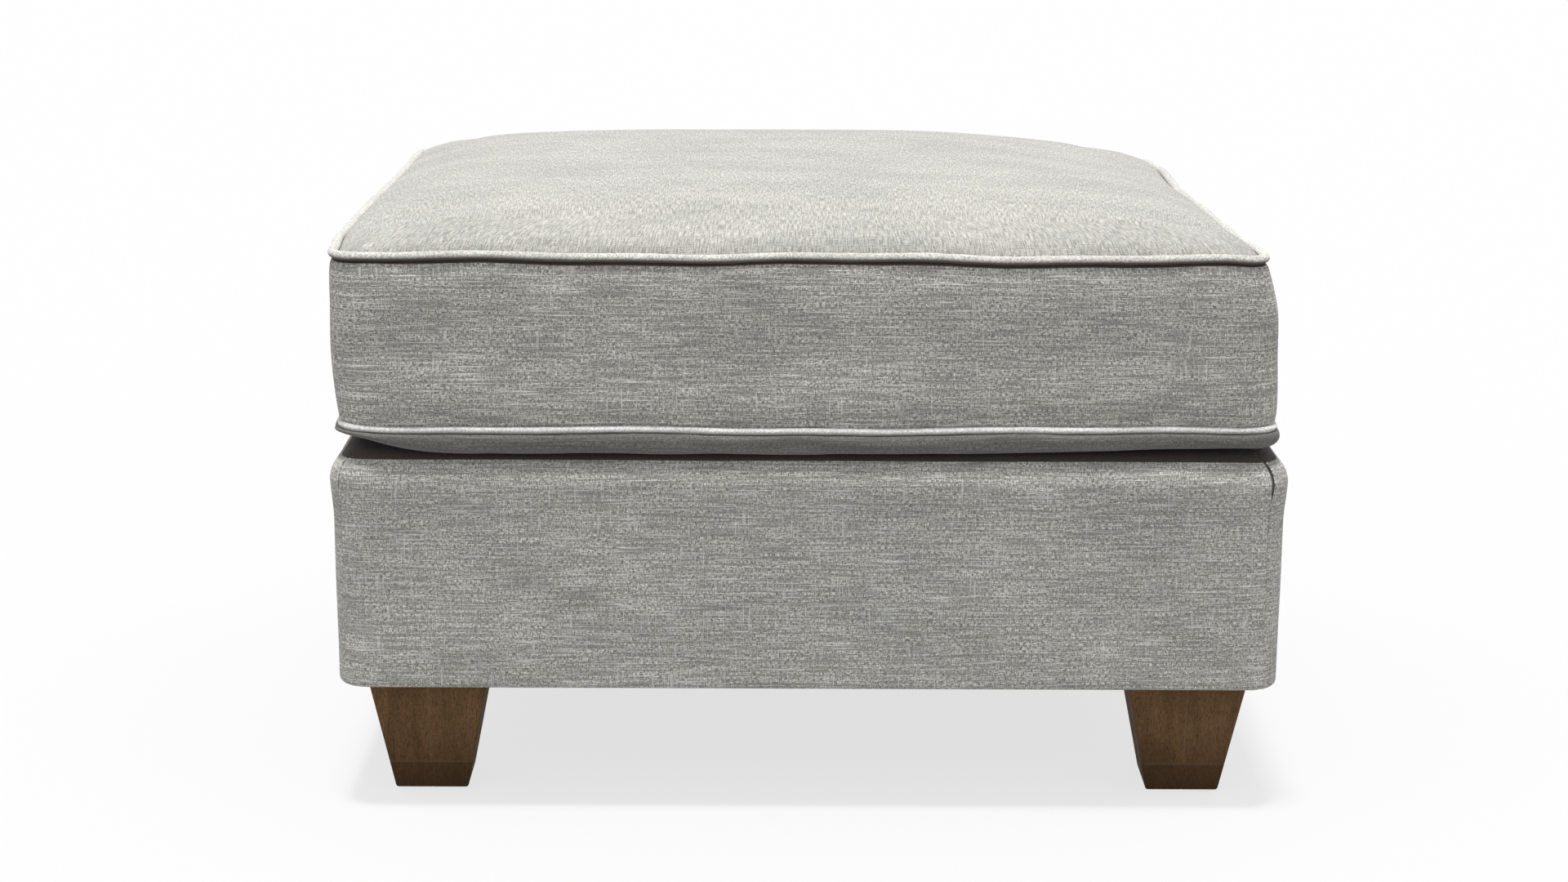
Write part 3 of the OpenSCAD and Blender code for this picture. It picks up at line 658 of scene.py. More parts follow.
@dataclass(frozen=True)
class LiningFinish:
    """Plain dark cloth with a diagonal twill line."""

    name: str
    colour: Colour
    pitch: float = 0.0016
    roughness: float = 0.9

    def make(self) -> bpy.types.Material:
        """Builds the material: slanting ribs with a speckle of fibres.

        Returns:
            The material.
        """
        g = Graph(self.name, self.colour, self.roughness)
        ribs = g.wave(g.even(1 / self.pitch, 45.0), 0)
        specks = g.noise(g.even(900.0), 2.0)
        tone = g.blend(g.span(specks, 0.35, 0.65), tint(self.colour, 0.7), tint(self.colour, 1.35))
        tone = g.blend(g.span(ribs, -1.0, 1.0, 0.0, 0.35), tone, tint(self.colour, 0.6))
        normal = g.bump(specks, 0.0002, g.bump(ribs, 0.00025))
        return g.finish(tone, normal, Sheen_Weight=0.1)


@dataclass(frozen=True)
class FeltFinish:
    """Matted fibres without a weave, for the dust cloth, padding and fibre wrap."""

    name: str
    colour: Colour
    fibre: float = 0.004

    def make(self) -> bpy.types.Material:
        """Builds the material: long and short noise pressed together.

        Returns:
            The material.
        """
        g = Graph(self.name, self.colour, 0.95)
        tangle = g.noise(g.even(1 / self.fibre), 6.0, 0.65, 1.2)
        dots = g.noise(g.even(700.0), 1.0)
        tone = g.blend(g.span(tangle, 0.35, 0.65), tint(self.colour, 0.75), tint(self.colour, 1.3))
        normal = g.bump(dots, 0.0002, g.bump(tangle, 0.0006))
        return g.finish(tone, normal, Sheen_Weight=0.2)


@dataclass(frozen=True)
class FoamFinish:
    """Open-cell foam, a little yellowed."""

    name: str
    colour: Colour = (0.80, 0.72, 0.50)

    def make(self) -> bpy.types.Material:
        """Builds the material: close cells and a slow change of colour.

        Returns:
            The material.
        """
        g = Graph(self.name, self.colour, 0.9)
        cells = g.noise(g.even(1400.0), 1.0)
        age = g.noise(g.even(14.0), 2.0)
        aged = tuple(c * by for c, by in zip(self.colour, (0.95, 0.88, 0.72)))
        tone = g.blend(g.span(age, 0.3, 0.7), self.colour, aged)
        tone = g.blend(g.span(cells, 0.3, 0.5, 0.3, 0.0), tone, (0.42, 0.34, 0.2))
        return g.finish(tone, g.bump(cells, 0.0006))


@dataclass(frozen=True)
class BurlapFinish:
    """Coarse open jute cloth."""

    name: str
    colour: Colour = (0.36, 0.25, 0.14)

    def make(self) -> bpy.types.Material:
        """Builds the material: two crossing thread waves broken up by fibres.

        Returns:
            The material.
        """
        g = Graph(self.name, self.colour, 0.95)
        at = g.even(250.0)
        threads = g.sum("MAXIMUM", g.wave(at, 0), g.wave(at, 1))
        fibres = g.noise(g.even(800.0), 3.0)
        tone = g.blend(g.span(threads, -0.2, 0.9), tint(self.colour, 0.35), self.colour)
        tone = g.blend(g.span(fibres, 0.4, 0.7, 0.0, 0.4), tone, (0.55, 0.42, 0.25))
        return g.finish(tone, g.bump(threads, 0.0006))


@dataclass(frozen=True)
class WoodFinish:
    """Wood whose grain runs along one axis, bare or stained."""

    name: str
    early: Colour
    late: Colour
    axis: int
    roughness: float = 0.65

    def make(self) -> bpy.types.Material:
        """Builds the material: stretched bands, fine streaks and short pores.

        Returns:
            The material.
        """
        g = Graph(self.name, self.early, self.roughness)

        def along(wide: float, long: float) -> bpy.types.NodeSocket:
            """Coordinates in units of wide across the grain and long along it."""
            return g.coordinate("Object", tuple(1 / (long if axis == self.axis else wide) for axis in range(3)))

        bands = g.noise(along(0.022, 0.35), 3.0, 0.55, 0.6)
        streaks = g.noise(along(0.0016, 0.06), 3.0, 0.6)
        pores = g.span(g.noise(along(0.0006, 0.007), 1.0), 0.62, 0.72)
        tone = g.blend(g.span(bands, 0.35, 0.65), self.early, self.late)
        tone = g.blend(g.span(streaks, 0.35, 0.7, 0.0, 0.55), tone, self.late)
        tone = g.blend(g.sum("MULTIPLY", pores, 0.5), tone, tint(self.late, 0.35))
        rough = g.span(streaks, 0.3, 0.7, self.roughness - 0.06, self.roughness + 0.08)
        normal = g.bump(pores, -0.00012, g.bump(streaks, 0.00008))
        return g.finish(tone, normal, rough)


@dataclass(frozen=True)
class LegFinish:
    """Dark stained hardwood of a leg glued up from two boards, with the foot stained darker.

    U is the distance from the middle of a face and V the height, both in metres.
    """

    name: str
    pale: Colour = (0.322, 0.180, 0.082)
    dark: Colour = (0.084, 0.046, 0.022)
    foot_line: float = 0.0270

    def make(self) -> bpy.types.Material:
        """Builds the material: streaks up the leg, a board joint up each face and a darker foot.

        Returns:
            The material.
        """
        g = Graph(self.name, self.pale, 0.42)
        bands = g.noise(g.coordinate("Object", (62.0, 62.0, 7.0)), 3.0, 0.55, 0.8)
        streaks = g.noise(g.coordinate("Object", (950.0, 950.0, 9.0)), 2.0, 0.55)
        pores = g.span(g.noise(g.coordinate("Object", (1500.0, 1500.0, 110.0)), 1.0), 0.6, 0.7)
        across, height = g.in_cloth()[:2]
        board = g.span(across, -0.0004, 0.0004)
        joint = g.span(g.sum("ABSOLUTE", across), 0.0004, 0.0011, 1.0, 0.0)
        above = g.span(height, self.foot_line - 0.0006, self.foot_line + 0.0006)
        from_line = g.sum("ABSOLUTE", g.sum("SUBTRACT", height, self.foot_line))
        line = g.span(from_line, 0.0003, 0.0012, 1.0, 0.0)
        tone = g.blend(g.span(bands, 0.32, 0.68, 0.38, 0.82), self.dark, self.pale)
        tone = g.blend(g.span(streaks, 0.40, 0.64, 0.32, 0.66), tone, self.dark)
        # The leg grows darker towards the bottom, below 85 mm.
        tone = g.blend(g.span(height, 0.020, 0.085, 0.46, 0.0), tone, tint(self.dark, 0.8))
        fleck = g.noise(g.coordinate("Object", (640.0, 640.0, 360.0)), 3.0, 0.6)
        tone = g.blend(g.span(fleck, 0.36, 0.64, 0.0, 0.16), tone, tint(self.dark, 0.6))
        tone = g.blend(g.sum("MULTIPLY", pores, 0.6), tone, tint(self.dark, 0.4))
        tone = g.blend(g.sum("MULTIPLY", board, 0.06), tone, (0.16, 0.105, 0.066))
        tone = g.blend(g.span(above, 0.0, 1.0, 0.46, 0.0), tone, tint(self.dark, 0.45))
        lines = g.sum("MAXIMUM", g.sum("MULTIPLY", joint, above), line)
        tone = g.blend(g.sum("MULTIPLY", lines, 0.30), tone, (0.21, 0.145, 0.095))
        rough = g.span(streaks, 0.3, 0.7, 0.60, 0.74)
        normal = g.bump(pores, -0.00015, g.bump(streaks, 0.00010))
        return g.finish(tone, normal, rough, Specular_IOR_Level=0.07)


@dataclass(frozen=True)
class MetalFinish:
    """Bright or dull metal with fine wear."""

    name: str
    colour: Colour = (0.56, 0.57, 0.58)
    roughness: float = 0.32

    def make(self) -> bpy.types.Material:
        """Builds the material: metal with cloudy roughness and fine scratches.

        Returns:
            The material.
        """
        g = Graph(self.name, self.colour, self.roughness)
        cloud = g.noise(g.even(120.0), 4.0)
        fine = g.noise(g.coordinate("Object", (2600.0, 900.0, 2600.0)), 2.0)
        tone = g.blend(g.span(cloud, 0.3, 0.7), self.colour, tint(self.colour, 0.78))
        rough = g.span(cloud, 0.3, 0.7, self.roughness - 0.08, self.roughness + 0.14)
        return g.finish(tone, g.bump(fine, 0.00004), rough, Metallic=1.0)


@dataclass(frozen=True)
class NylonFinish:
    """Moulded or woven nylon with a faint texture."""

    name: str
    colour: Colour
    roughness: float = 0.45
    pitch: float = 0.0009

    def make(self) -> bpy.types.Material:
        """Builds the material: fine ribs and a slight unevenness.

        Returns:
            The material.
        """
        g = Graph(self.name, self.colour, self.roughness)
        ribs = g.wave(g.even(1 / self.pitch), 2)
        cloud = g.noise(g.even(400.0), 3.0)
        tone = g.blend(g.span(cloud, 0.3, 0.7), self.colour, tint(self.colour, 1.5))
        rough = g.span(cloud, 0.3, 0.7, self.roughness, self.roughness + 0.15)
        return g.finish(tone, g.bump(ribs, 0.00006), rough)


class Finish(Enum):
    """The finishes of the ottoman's pieces."""

    # Base cover: past the given V the top of the rolled shoulder is painted dark, painted shade in the gap under
    # the cushion.
    LINEN_SIDE = LinenFinish("linen_side", colour=(0.510, 0.498, 0.460), warp_slubs=0.85, mottle=0.28,
                             painted_shade_from=0.2206)
    # Cushion boxing: a band just under the top seam is painted dark, painted shade in the slot under the top welt.
    LINEN_BOXING = LinenFinish("linen_boxing", colour=(0.451, 0.441, 0.408), warp_slubs=0.85, mottle=0.28,
                               painted_shade_from=0.0632, shift=3.1)
    LINEN_TOP = LinenFinish("linen_top", colour=(0.464, 0.455, 0.424), weft_slubs=0.3, warp_slubs=0.9,
                            warp_share=0.62, warp_length=0.0085, contrast=0.57, mottle=0.22, shift=7.3)
    # Bottom panel: the same linen darkened as painted shade, for the strip under the bottom welt and the underside.
    LINEN_UNDER_PAINTED_SHADE = LinenFinish("linen_under_painted_shade", colour=(0.168, 0.164, 0.150), contrast=0.6, shift=5.9)
    # Welts: the same linen made paler as a painted highlight along the cord, with painted shade round its
    # underside; the bottom welt is paler still and its painted shade lighter.
    LINEN_WELT_PAINTED_LIGHT_SHADE = LinenFinish("linen_welt_painted_light_shade", colour=(0.610, 0.600, 0.560), weft_slubs=0.4, warp_slubs=0.4,
                             contrast=0.55, relief=0.45, turn=45.0, shift=1.7,
                             painted_shade_band=(0.0052, 0.0084, 0.0180, 0.0206))
    LINEN_LOW_WELT_PAINTED_LIGHT_SHADE = LinenFinish("linen_low_welt_painted_light_shade", colour=(0.790, 0.775, 0.725), weft_slubs=0.4, warp_slubs=0.4,
                                 contrast=0.55, relief=0.45, turn=45.0, shift=1.7, painted_shade_colour=(0.300, 0.290, 0.265),
                                 painted_shade_band=(0.0050, 0.0078, 0.0160, 0.0190))
    LINEN_THREAD = LinenFinish("linen_thread", colour=(0.46, 0.46, 0.43))
    DECK_LINING = LiningFinish("deck_lining", (0.085, 0.078, 0.07))
    DUST_CLOTH = FeltFinish("dust_cloth", (0.022, 0.022, 0.024), 0.0025)
    # Felt padding in dark grey: partly a felt's own colour, partly painted shade where it shows through the opening
    # seam.
    PADDING = FeltFinish("cotton_padding", (0.17, 0.16, 0.145), 0.008)
    FIBRE = FeltFinish("polyester_fibre", (0.80, 0.80, 0.78), 0.01)
    FOAM = FoamFinish("seat_foam")
    BURLAP = BurlapFinish("spring_burlap")
    FRAME_WOOD_X = WoodFinish("frame_wood_long", (0.56, 0.40, 0.23), (0.36, 0.23, 0.12), 0)
    FRAME_WOOD_Y = WoodFinish("frame_wood_short", (0.56, 0.40, 0.23), (0.36, 0.23, 0.12), 1)
    LEG = LegFinish("walnut_stain")
    STEEL = MetalFinish("spring_steel", (0.42, 0.42, 0.43), 0.38)
    STAPLE = MetalFinish("staple_wire", (0.62, 0.62, 0.63), 0.3)
    SLIDER = MetalFinish("slider_metal", (0.30, 0.30, 0.31), 0.34)
    ZIP_TEETH = NylonFinish("zip_coil", (0.052, 0.052, 0.05), 0.4, 0.0012)
    ZIP_TAPE = LiningFinish("zip_tape_cloth", (0.16, 0.16, 0.152), 0.0012)
    GLIDE = NylonFinish("glide_nylon", (0.045, 0.04, 0.036), 0.5)


class Dresser:
    """Makes each finish once and puts it on pieces."""

    def __init__(self) -> None:
        """Starts with no finish made."""
        self.made: dict[Finish, bpy.types.Material] = {}

    def material(self, finish: Finish) -> bpy.types.Material:
        """The material of a finish, made when it is first asked for.

        Args:
            finish: the finish.

        Returns:
            Its material.
        """
        if finish not in self.made:
            self.made[finish] = finish.value.make()
        return self.made[finish]

    def dress(self, piece: bpy.types.Object, finish: Finish, body: Body, slot: str,
              replaces: tuple[str, ...] = ()) -> bpy.types.Object:
        """Finishes a new piece and fastens it to its body.

        Args:
            piece: the object.
            finish: its finish.
            body: the body it rides on.
            slot: not used.
            replaces: CAD nodes that it stands for.

        Returns:
            The same object.
        """
        piece.data.materials.clear()
        piece.data.materials.append(self.material(finish))
        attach(piece, body.value)
        if replaces:
            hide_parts(*replaces)
        log.info("%s: %d vertices on %s", piece.name, len(piece.data.vertices), body.value)
        return piece

    def repaint(self, finish: Finish, *nodes: str) -> None:
        """Gives CAD nodes that keep their shape a finish.

        Args:
            finish: the finish.
            nodes: the nodes' names.
        """
        for name in nodes:
            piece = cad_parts[name]
            if not piece.material_slots:
                piece.data.materials.append(None)
            for place in piece.material_slots:
                place.material = self.material(finish)


# ---------------------------------------------------------------------------------------------
# The cushion
# ---------------------------------------------------------------------------------------------


@dataclass
class SeamRing:
    """Rounded rectangle of the cushion's seams, from the middle of the front left corner counter-clockwise.

    Args:
        half_x: half the width over the seam.
        half_y: half the depth over the seam.
        radius: radius of the corners.
        steps_x: steps along the straight part of the front.
        steps_y: steps along the straight part of a short side.
        half_corner: steps in half of a corner.
    """

    half_x: float
    half_y: float
    radius: float
    steps_x: int
    steps_y: int
    half_corner: int = 3

    @property
    def across(self) -> int:
        """Steps of the front between the middles of its corners."""
        return self.steps_x + 2 * self.half_corner

    @property
    def deep(self) -> int:
        """Steps of a short side between the middles of its corners."""
        return self.steps_y + 2 * self.half_corner

    def outline(self, inset: float = 0.0, radius: float | None = None) -> tuple[Array, Array]:
        """The outline drawn in: four straight runs, closer stepped near their ends, and four arcs.

        Args:
            inset: how far it is drawn in.
            radius: radius of its corners.

        Returns:
            (n, 2) places and (n, 2) directions outwards.
        """
        r = self.radius - inset if radius is None else radius
        ax, ay = self.half_x - inset - r, self.half_y - inset - r
        places, out = [], []
        for k, (a, b, steps) in enumerate([(ax, ay, self.steps_x), (ay, ax, self.steps_y)] * 2):
            t = np.linspace(-1, 1, steps + 1)[1:-1]
            t = 0.78 * t + 0.22 * np.sin(t * np.pi / 2)
            lead = np.radians(np.linspace(-45, 0, self.half_corner + 1))
            tail = -lead[::-1]
            arc = np.concatenate([np.stack([-a + r * np.sin(lead), -b - r * np.cos(lead)], 1),
                                  np.stack([a * t, np.full(len(t), -b - r)], 1),
                                  np.stack([a + r * np.sin(tail), -b - r * np.cos(tail)], 1)[:-1]])
            way = np.concatenate([np.stack([np.sin(lead), -np.cos(lead)], 1),
                                  np.tile([0.0, -1.0], (len(t), 1)),
                                  np.stack([np.sin(tail), -np.cos(tail)], 1)[:-1]])
            c, s = QUARTERS[k]
            turn = np.array([[c, s], [-s, c]])
            places.append(arc @ turn)
            out.append(way @ turn)
        return np.vstack(places), np.vstack(out)

    def border(self) -> Array:
        """Finds the points of a (deep + 1) by (across + 1) grid that lie on the ring.

        Returns:
            Their numbers, in the ring's order.
        """
        gx, gy = self.across, self.deep
        at = np.arange((gx + 1) * (gy + 1)).reshape(gy + 1, gx + 1)
        return np.concatenate([at[0, :-1], at[:-1, -1], at[-1, :0:-1], at[:0:-1, 0]])

    def fill(self, ring: Array) -> Array:
        """Grid of places inside a ring: each point is the sum of what its row's and its column's ends say.

        Args:
            ring: (n, 2) places of the ring.

        Returns:
            (deep + 1, across + 1, 2) places.
        """
        gx, gy = self.across, self.deep
        front, right = ring[:gx + 1], ring[gx:gx + gy + 1]
        back, left = ring[gx + gy:2 * gx + gy + 1][::-1], np.vstack([ring[2 * gx + gy:], ring[:1]])[::-1]
        s = ((front[:, 0] - front[0, 0]) / (front[-1, 0] - front[0, 0]))[None, :, None]
        t = ((right[:, 1] - right[0, 1]) / (right[-1, 1] - right[0, 1]))[:, None, None]
        flat = (1 - t) * front[None] + t * back[None] + (1 - s) * left[:, None] + s * right[:, None]
        corners = ((1 - s) * (1 - t) * front[0] + s * (1 - t) * front[-1]
                   + (1 - s) * t * back[0] + s * t * back[-1])
        return flat - corners


@dataclass
class CushionShell:
    """The cushion's cover as one closed skin, which is settled, then blown up, and later cut into panels."""

    ring: SeamRing = field(default_factory=lambda: SeamRing(0.367, 0.291, 0.016, 66, 50))
    floor_z: float = 0.2945
    low_seam: float = 0.3113
    top_seam: float = 0.4493
    bulge: float = 0.0052
    edge: tuple[tuple[float, float], ...] = ((0.0360, 0.0140), (0.0237, 0.0132), (0.0138, 0.0110), (0.0081, 0.0078),
                                             (0.0053, 0.0043), (0.0039, 0.0012))
    dome: float = 0.024
    corner_ease: float = 0.5
    corner_reach: float = 0.038
    belly: tuple[tuple[float, float], ...] = ((0.0061, 0.0003), (0.0071, 0.0037), (0.0074, 0.0084),
                                              (0.0060, 0.0130), (0.0018, 0.0166), (-0.0050, 0.0180))
    belly_in: float = 0.013
    shift: float = -0.0045
    top_reach: float = 0.0035
    side_reach: float = 0.0014
    sink: float = 0.0003
    boxing_rows: tuple[float, ...] = (67.4, 65.6, 64.0, 62.3, 58.8, 51.5, 42.5, 33.5, 24.5, 16.0, 9.5, 4.2, 0.0)
    seam_depth: float = 0.0030
    slot: tuple[float, float] = (0.0036, 0.0068)
    frames: int = 24
    pressure: float = 1.6
    band_reach: tuple[float, ...] = (0.9, 0.72, 0.5, 0.26, 0.08)
    slide_share: float = 0.5
    zip_y: float = 0.285

    def __post_init__(self) -> None:
        """Works out the start shape and its faces."""
        border = self.ring.border()
        n = self.count = len(border)
        self.plan, out = self.ring.outline()
        self.along = run_lengths(np.vstack([self.plan, self.plan[:1]]))
        middle = (self.low_seam + self.top_seam) / 2
        half = (self.top_seam - self.low_seam) / 2
        rows = np.array(self.boxing_rows) / 1000
        self.heights = np.concatenate([[half], rows, -rows[-2::-1], [-half]])
        swell = self.bulge * (1 - (self.heights / half) ** 2) ** 0.65
        swell -= (swell + self.seam_depth) * (1 - smooth_step(half - np.abs(self.heights), *self.slot))
        z = np.broadcast_to((middle + self.heights)[:, None, None], (len(self.heights), n, 1))
        boxing = np.concatenate([self.plan[None] + swell[:, None, None] * out[None], z], 2)
        self.top_band, top_grid = self.crown_rows()
        self.low_band, low_grid = self.belly_rows(out)
        parts = [part.reshape(-1, 3) for part in (top_grid, self.top_band, boxing, self.low_band, low_grid)]
        self.start = self.settle(np.vstack(parts))
        ends = np.cumsum([0] + [len(part) for part in parts])
        self.spans = [slice(a, b) for a, b in zip(ends[:-1], ends[1:])]
        between = np.arange(ends[1], ends[4]).reshape(-1, n)
        self.ring_ids = np.vstack([border[None], between, border[None] + ends[4]])
        side = self.ring_ids.ravel()[grid_quads(len(self.ring_ids), n, wrap=True)]
        flat = grid_quads(self.ring.deep + 1, self.ring.across + 1)
        self.faces = np.vstack([flat, side[:, ::-1], (flat + ends[4])[:, ::-1]])

    def crown_rows(self) -> tuple[Array, Array]:
        """Top panel: up and in from the seam with a groove inside the welt, then a dome.

        The dome's height is 1 - (x / half width) cubed times 1 - (y / half depth) to the fifth, so that it falls to
        nothing at the rim. A bell round each corner lowers the rolled edge there.

        Returns:
            The band's rows from the inner ring's neighbour out to the seam's neighbour, and the inner grid.
        """
        rows = []
        for inset, rise in self.edge:
            plan, _ = self.ring.outline(inset, max(self.ring.radius - inset * 0.35, 0.006))
            rows.append(np.column_stack([plan, np.full(len(plan), self.top_seam + rise)]))
        rows = np.stack(rows)
        flat = self.ring.fill(rows[0, :, :2])
        grid = np.concatenate([flat, np.full((*flat.shape[:2], 1), self.top_seam + self.edge[0][1])], 2)
        for part in (rows, grid):
            x, y = np.abs(part[..., 0]), np.abs(part[..., 1])
            corner = ((self.ring.half_x - x) ** 2 + (self.ring.half_y - y) ** 2) / self.corner_reach ** 2
            edge = (part[..., 2] - self.top_seam) * (1 - self.corner_ease * np.exp(-corner))
            dome = self.dome * (1 - (x / self.ring.half_x) ** 3) * (1 - (y / self.ring.half_y) ** 5)
            part[..., 2] = self.top_seam + edge + dome
        return rows[1:], grid

    def belly_rows(self, out: Array) -> tuple[Array, Array]:
        """Underside: out past the seam, round and in to the flat that lies on the deck.

        Args:
            out: directions outwards along the ring.

        Returns:
            The band's rows from the seam's neighbour inwards, and the flat grid.
        """
        rows = [np.column_stack([self.plan + reach * out, np.full(len(out), self.low_seam - fall)])
                for reach, fall in self.belly]
        inner, _ = self.ring.outline(self.belly_in, max(self.ring.radius - self.belly_in, 0.006))
        flat = self.ring.fill(inner)
        grid = np.concatenate([flat, np.full((*flat.shape[:2], 1), self.floor_z)], 2)
        return np.stack(rows), grid

    def settle(self, points: Array) -> Array:
        """How the loose cushion sits: its right edge drawn in at the top, its front left corner folded up
        underneath, and its seams wandering by a millimetre or two.

        Args:
            points: (..., 3) places in the even cushion.

        Returns:
            The same places in the cushion as it lies.
        """
        hx, hy = self.ring.half_x, self.ring.half_y
        p = np.array(points, float)
        x, y, z = np.moveaxis(p.copy(), -1, 0)
        px, py, pz = np.moveaxis(p, -1, 0)
        # Where the moves apply, from 0 to 1.
        middle = (self.low_seam + self.top_seam) / 2
        upper = smooth_step(z, middle + 0.018, self.top_seam + 0.006)
        lower = smooth_step(-z, -middle, -self.low_seam)
        under = smooth_step(-z, -self.low_seam - 0.002, -self.floor_z)
        crown = np.clip((z - self.top_seam) / 0.038, 0.0, 1.0)
        right, left = smooth_step(x, 0.06, hx), smooth_step(-x, 0.06, hx)
        rear = smooth_step(y, -0.25, hy)
        back_right = bell((x, hx, 0.07), (y, hy, 0.07))
        drawn = bell((y, 0.06, 0.13))
        corner = bell((x, -hx, 0.050), (y, -hy, 0.06))
        close = bell((x, -hx, 0.034), (y, -hy, 0.034))
        # The whole cushion lies a little to the left. Its lower front edge is drawn in, its right end lifts.
        px += self.shift + lower * (0.0035 * right - 0.0015 * left)
        py -= lower * (0.0072 + 0.0014 * (left - right)) * smooth_step(-y, 0.1, hy)
        pz += right * smooth_step(-z, -self.low_seam - 0.02, -self.low_seam) * 0.0020
        # The top's right edge is drawn in, more towards the back, and most at the back corner.
        px -= upper * right * (0.0065 + 0.009 * smooth_step(y, -0.285, -0.2) + 0.013 * rear + 0.006 * drawn)
        pz -= upper * right * 0.0025 * drawn
        px -= upper * back_right * 0.007
        py -= upper * back_right * 0.010
        pz -= upper * back_right * 0.003
        # The top's left edge stands out near the front, is drawn in towards the back, and lies higher.
        px += upper * left * (0.005 * smooth_step(y, -0.1, hy) - 0.0015)
        px -= upper * left * 0.004 * bell((y, -0.17, 0.11))
        pz += upper * (left * 0.0026 * smooth_step(y, -hy, -0.24) - right * 0.0008 * smooth_step(-y, 0.0, 0.2))
        # The crown is flatter towards the back right.
        pz -= crown * 0.007 * smooth_step(x, 0.08, 0.34) * smooth_step(y, -0.1, 0.25)
        # The front left corner is folded up underneath, and the belly rises towards the front right.
        pz += corner * under * 0.0115 + close * lower * 0.0005
        pz += under * smooth_step(x, 0.10, 0.33) * smooth_step(-y, 0.05, 0.25) * 0.0032
        px += close * lower * 0.0045
        py += close * lower * 0.0050
        # The seams wander up and down and in and out along the sides, least at the back.
        s = np.where(np.abs(x) / hx > np.abs(y) / hy, y * np.sign(x), -x * np.sign(y))
        near, low = bell((z, self.top_seam, 0.022)), bell((z, self.low_seam, 0.010))
        ends = smooth_step(hx - np.abs(x), 0.0, 0.03) * smooth_step(np.abs(y), 0.2, 0.29)
        sides = smooth_step(hy - np.abs(y), 0.0, 0.03) * smooth_step(np.abs(x), 0.28, hx)
        fade = (ends + sides) * (1 - 0.8 * smooth_step(y, -0.15, 0.1))
        pz += near * fade * ripple(s, ((0.0010, 0.29, 0.13), (0.0005, 0.117, 0.4)))
        pz += low * fade * ripple(s, ((0.0006, 0.33, 0.7), (0.0004, 0.14, 0.2)))
        push = ripple(s, ((0.0006, 0.21, 0.3), (0.0003, 0.093, 0.85))) * (near + low) * fade
        py += np.where(np.abs(y) > 0.26, np.sign(y) * push, 0.0)
        px += np.where(np.abs(x) > 0.335, np.sign(x) * push, 0.0) * (np.abs(y) <= 0.26)
        return p

    def held(self) -> Array:
        """Finds the points that the seams, the deck and the zip hold.

        Returns:
            Their numbers.
        """
        rings = self.ring_ids
        first = 1 + len(self.top_band)
        last = first + len(self.heights) - 1
        seams = [rings[first], rings[last]]
        mid = first + len(self.heights) // 2
        at_back = self.start[rings[mid], 1] > self.zip_y
        zipped = [rings[mid + k][at_back] for k in (-2, -1, 0, 1, 2)]
        floor = np.arange(self.spans[4].start, self.spans[4].stop)
        return np.unique(np.concatenate([*seams, *zipped, floor]))

    def inflate(self) -> Array:
        """Blows the skin up against its seams with Blender's cloth, and keeps each point near its start.

        A point's rise along its normal is eased by tanh to the reach of its part, its sinking to less, and what it
        slid along the surface is halved.

        Returns:
            The places of all points afterwards.
        """
        scene = bpy.context.scene
        skin = mesh_object("cushion_skin", self.start, self.faces)
        skin.vertex_groups.new(name="held").add(self.held().tolist(), 1.0, "REPLACE")
        cloth = skin.modifiers.new("cloth", "CLOTH")
        for name, value in (("quality", 6), ("mass", 0.3), ("tension_stiffness", 30), ("compression_stiffness", 30),
                            ("shear_stiffness", 8), ("bending_stiffness", 1.2), ("air_damping", 2.0),
                            ("vertex_group_mass", "held"), ("use_pressure", True),
                            ("uniform_pressure_force", self.pressure), ("shrink_min", -0.005)):
            setattr(cloth.settings, name, value)
        cloth.settings.effector_weights.gravity = 0.0
        cloth.collision_settings.use_collision = False
        cloth.point_cache.frame_start, cloth.point_cache.frame_end = 1, self.frames
        for number in range(1, self.frames + 1):
            scene.frame_set(number)
        done = skin.evaluated_get(bpy.context.evaluated_depsgraph_get())
        moved = vertex_places(done.data).astype(float) - self.start
        scene.frame_set(1)
        mesh = skin.data
        bpy.data.objects.remove(skin)
        bpy.data.meshes.remove(mesh)
        normal = point_normals(self.start, self.faces)
        rise = (moved * normal).sum(1)
        log.info("cushion skin moved %.1f mm out and %.1f mm in at most", 1000 * rise.max(), -1000 * rise.min())
        reach = np.full(len(rise), self.side_reach)
        reach[:self.spans[1].start] = self.top_reach
        reach[self.spans[1]] = self.top_reach * np.repeat(self.band_reach, self.count)
        held_back = np.where(rise > 0, reach * np.tanh(rise / reach), self.sink * np.tanh(rise / self.sink))
        moved = (moved - rise[:, None] * normal) * self.slide_share + held_back[:, None] * normal
        return self.start + moved


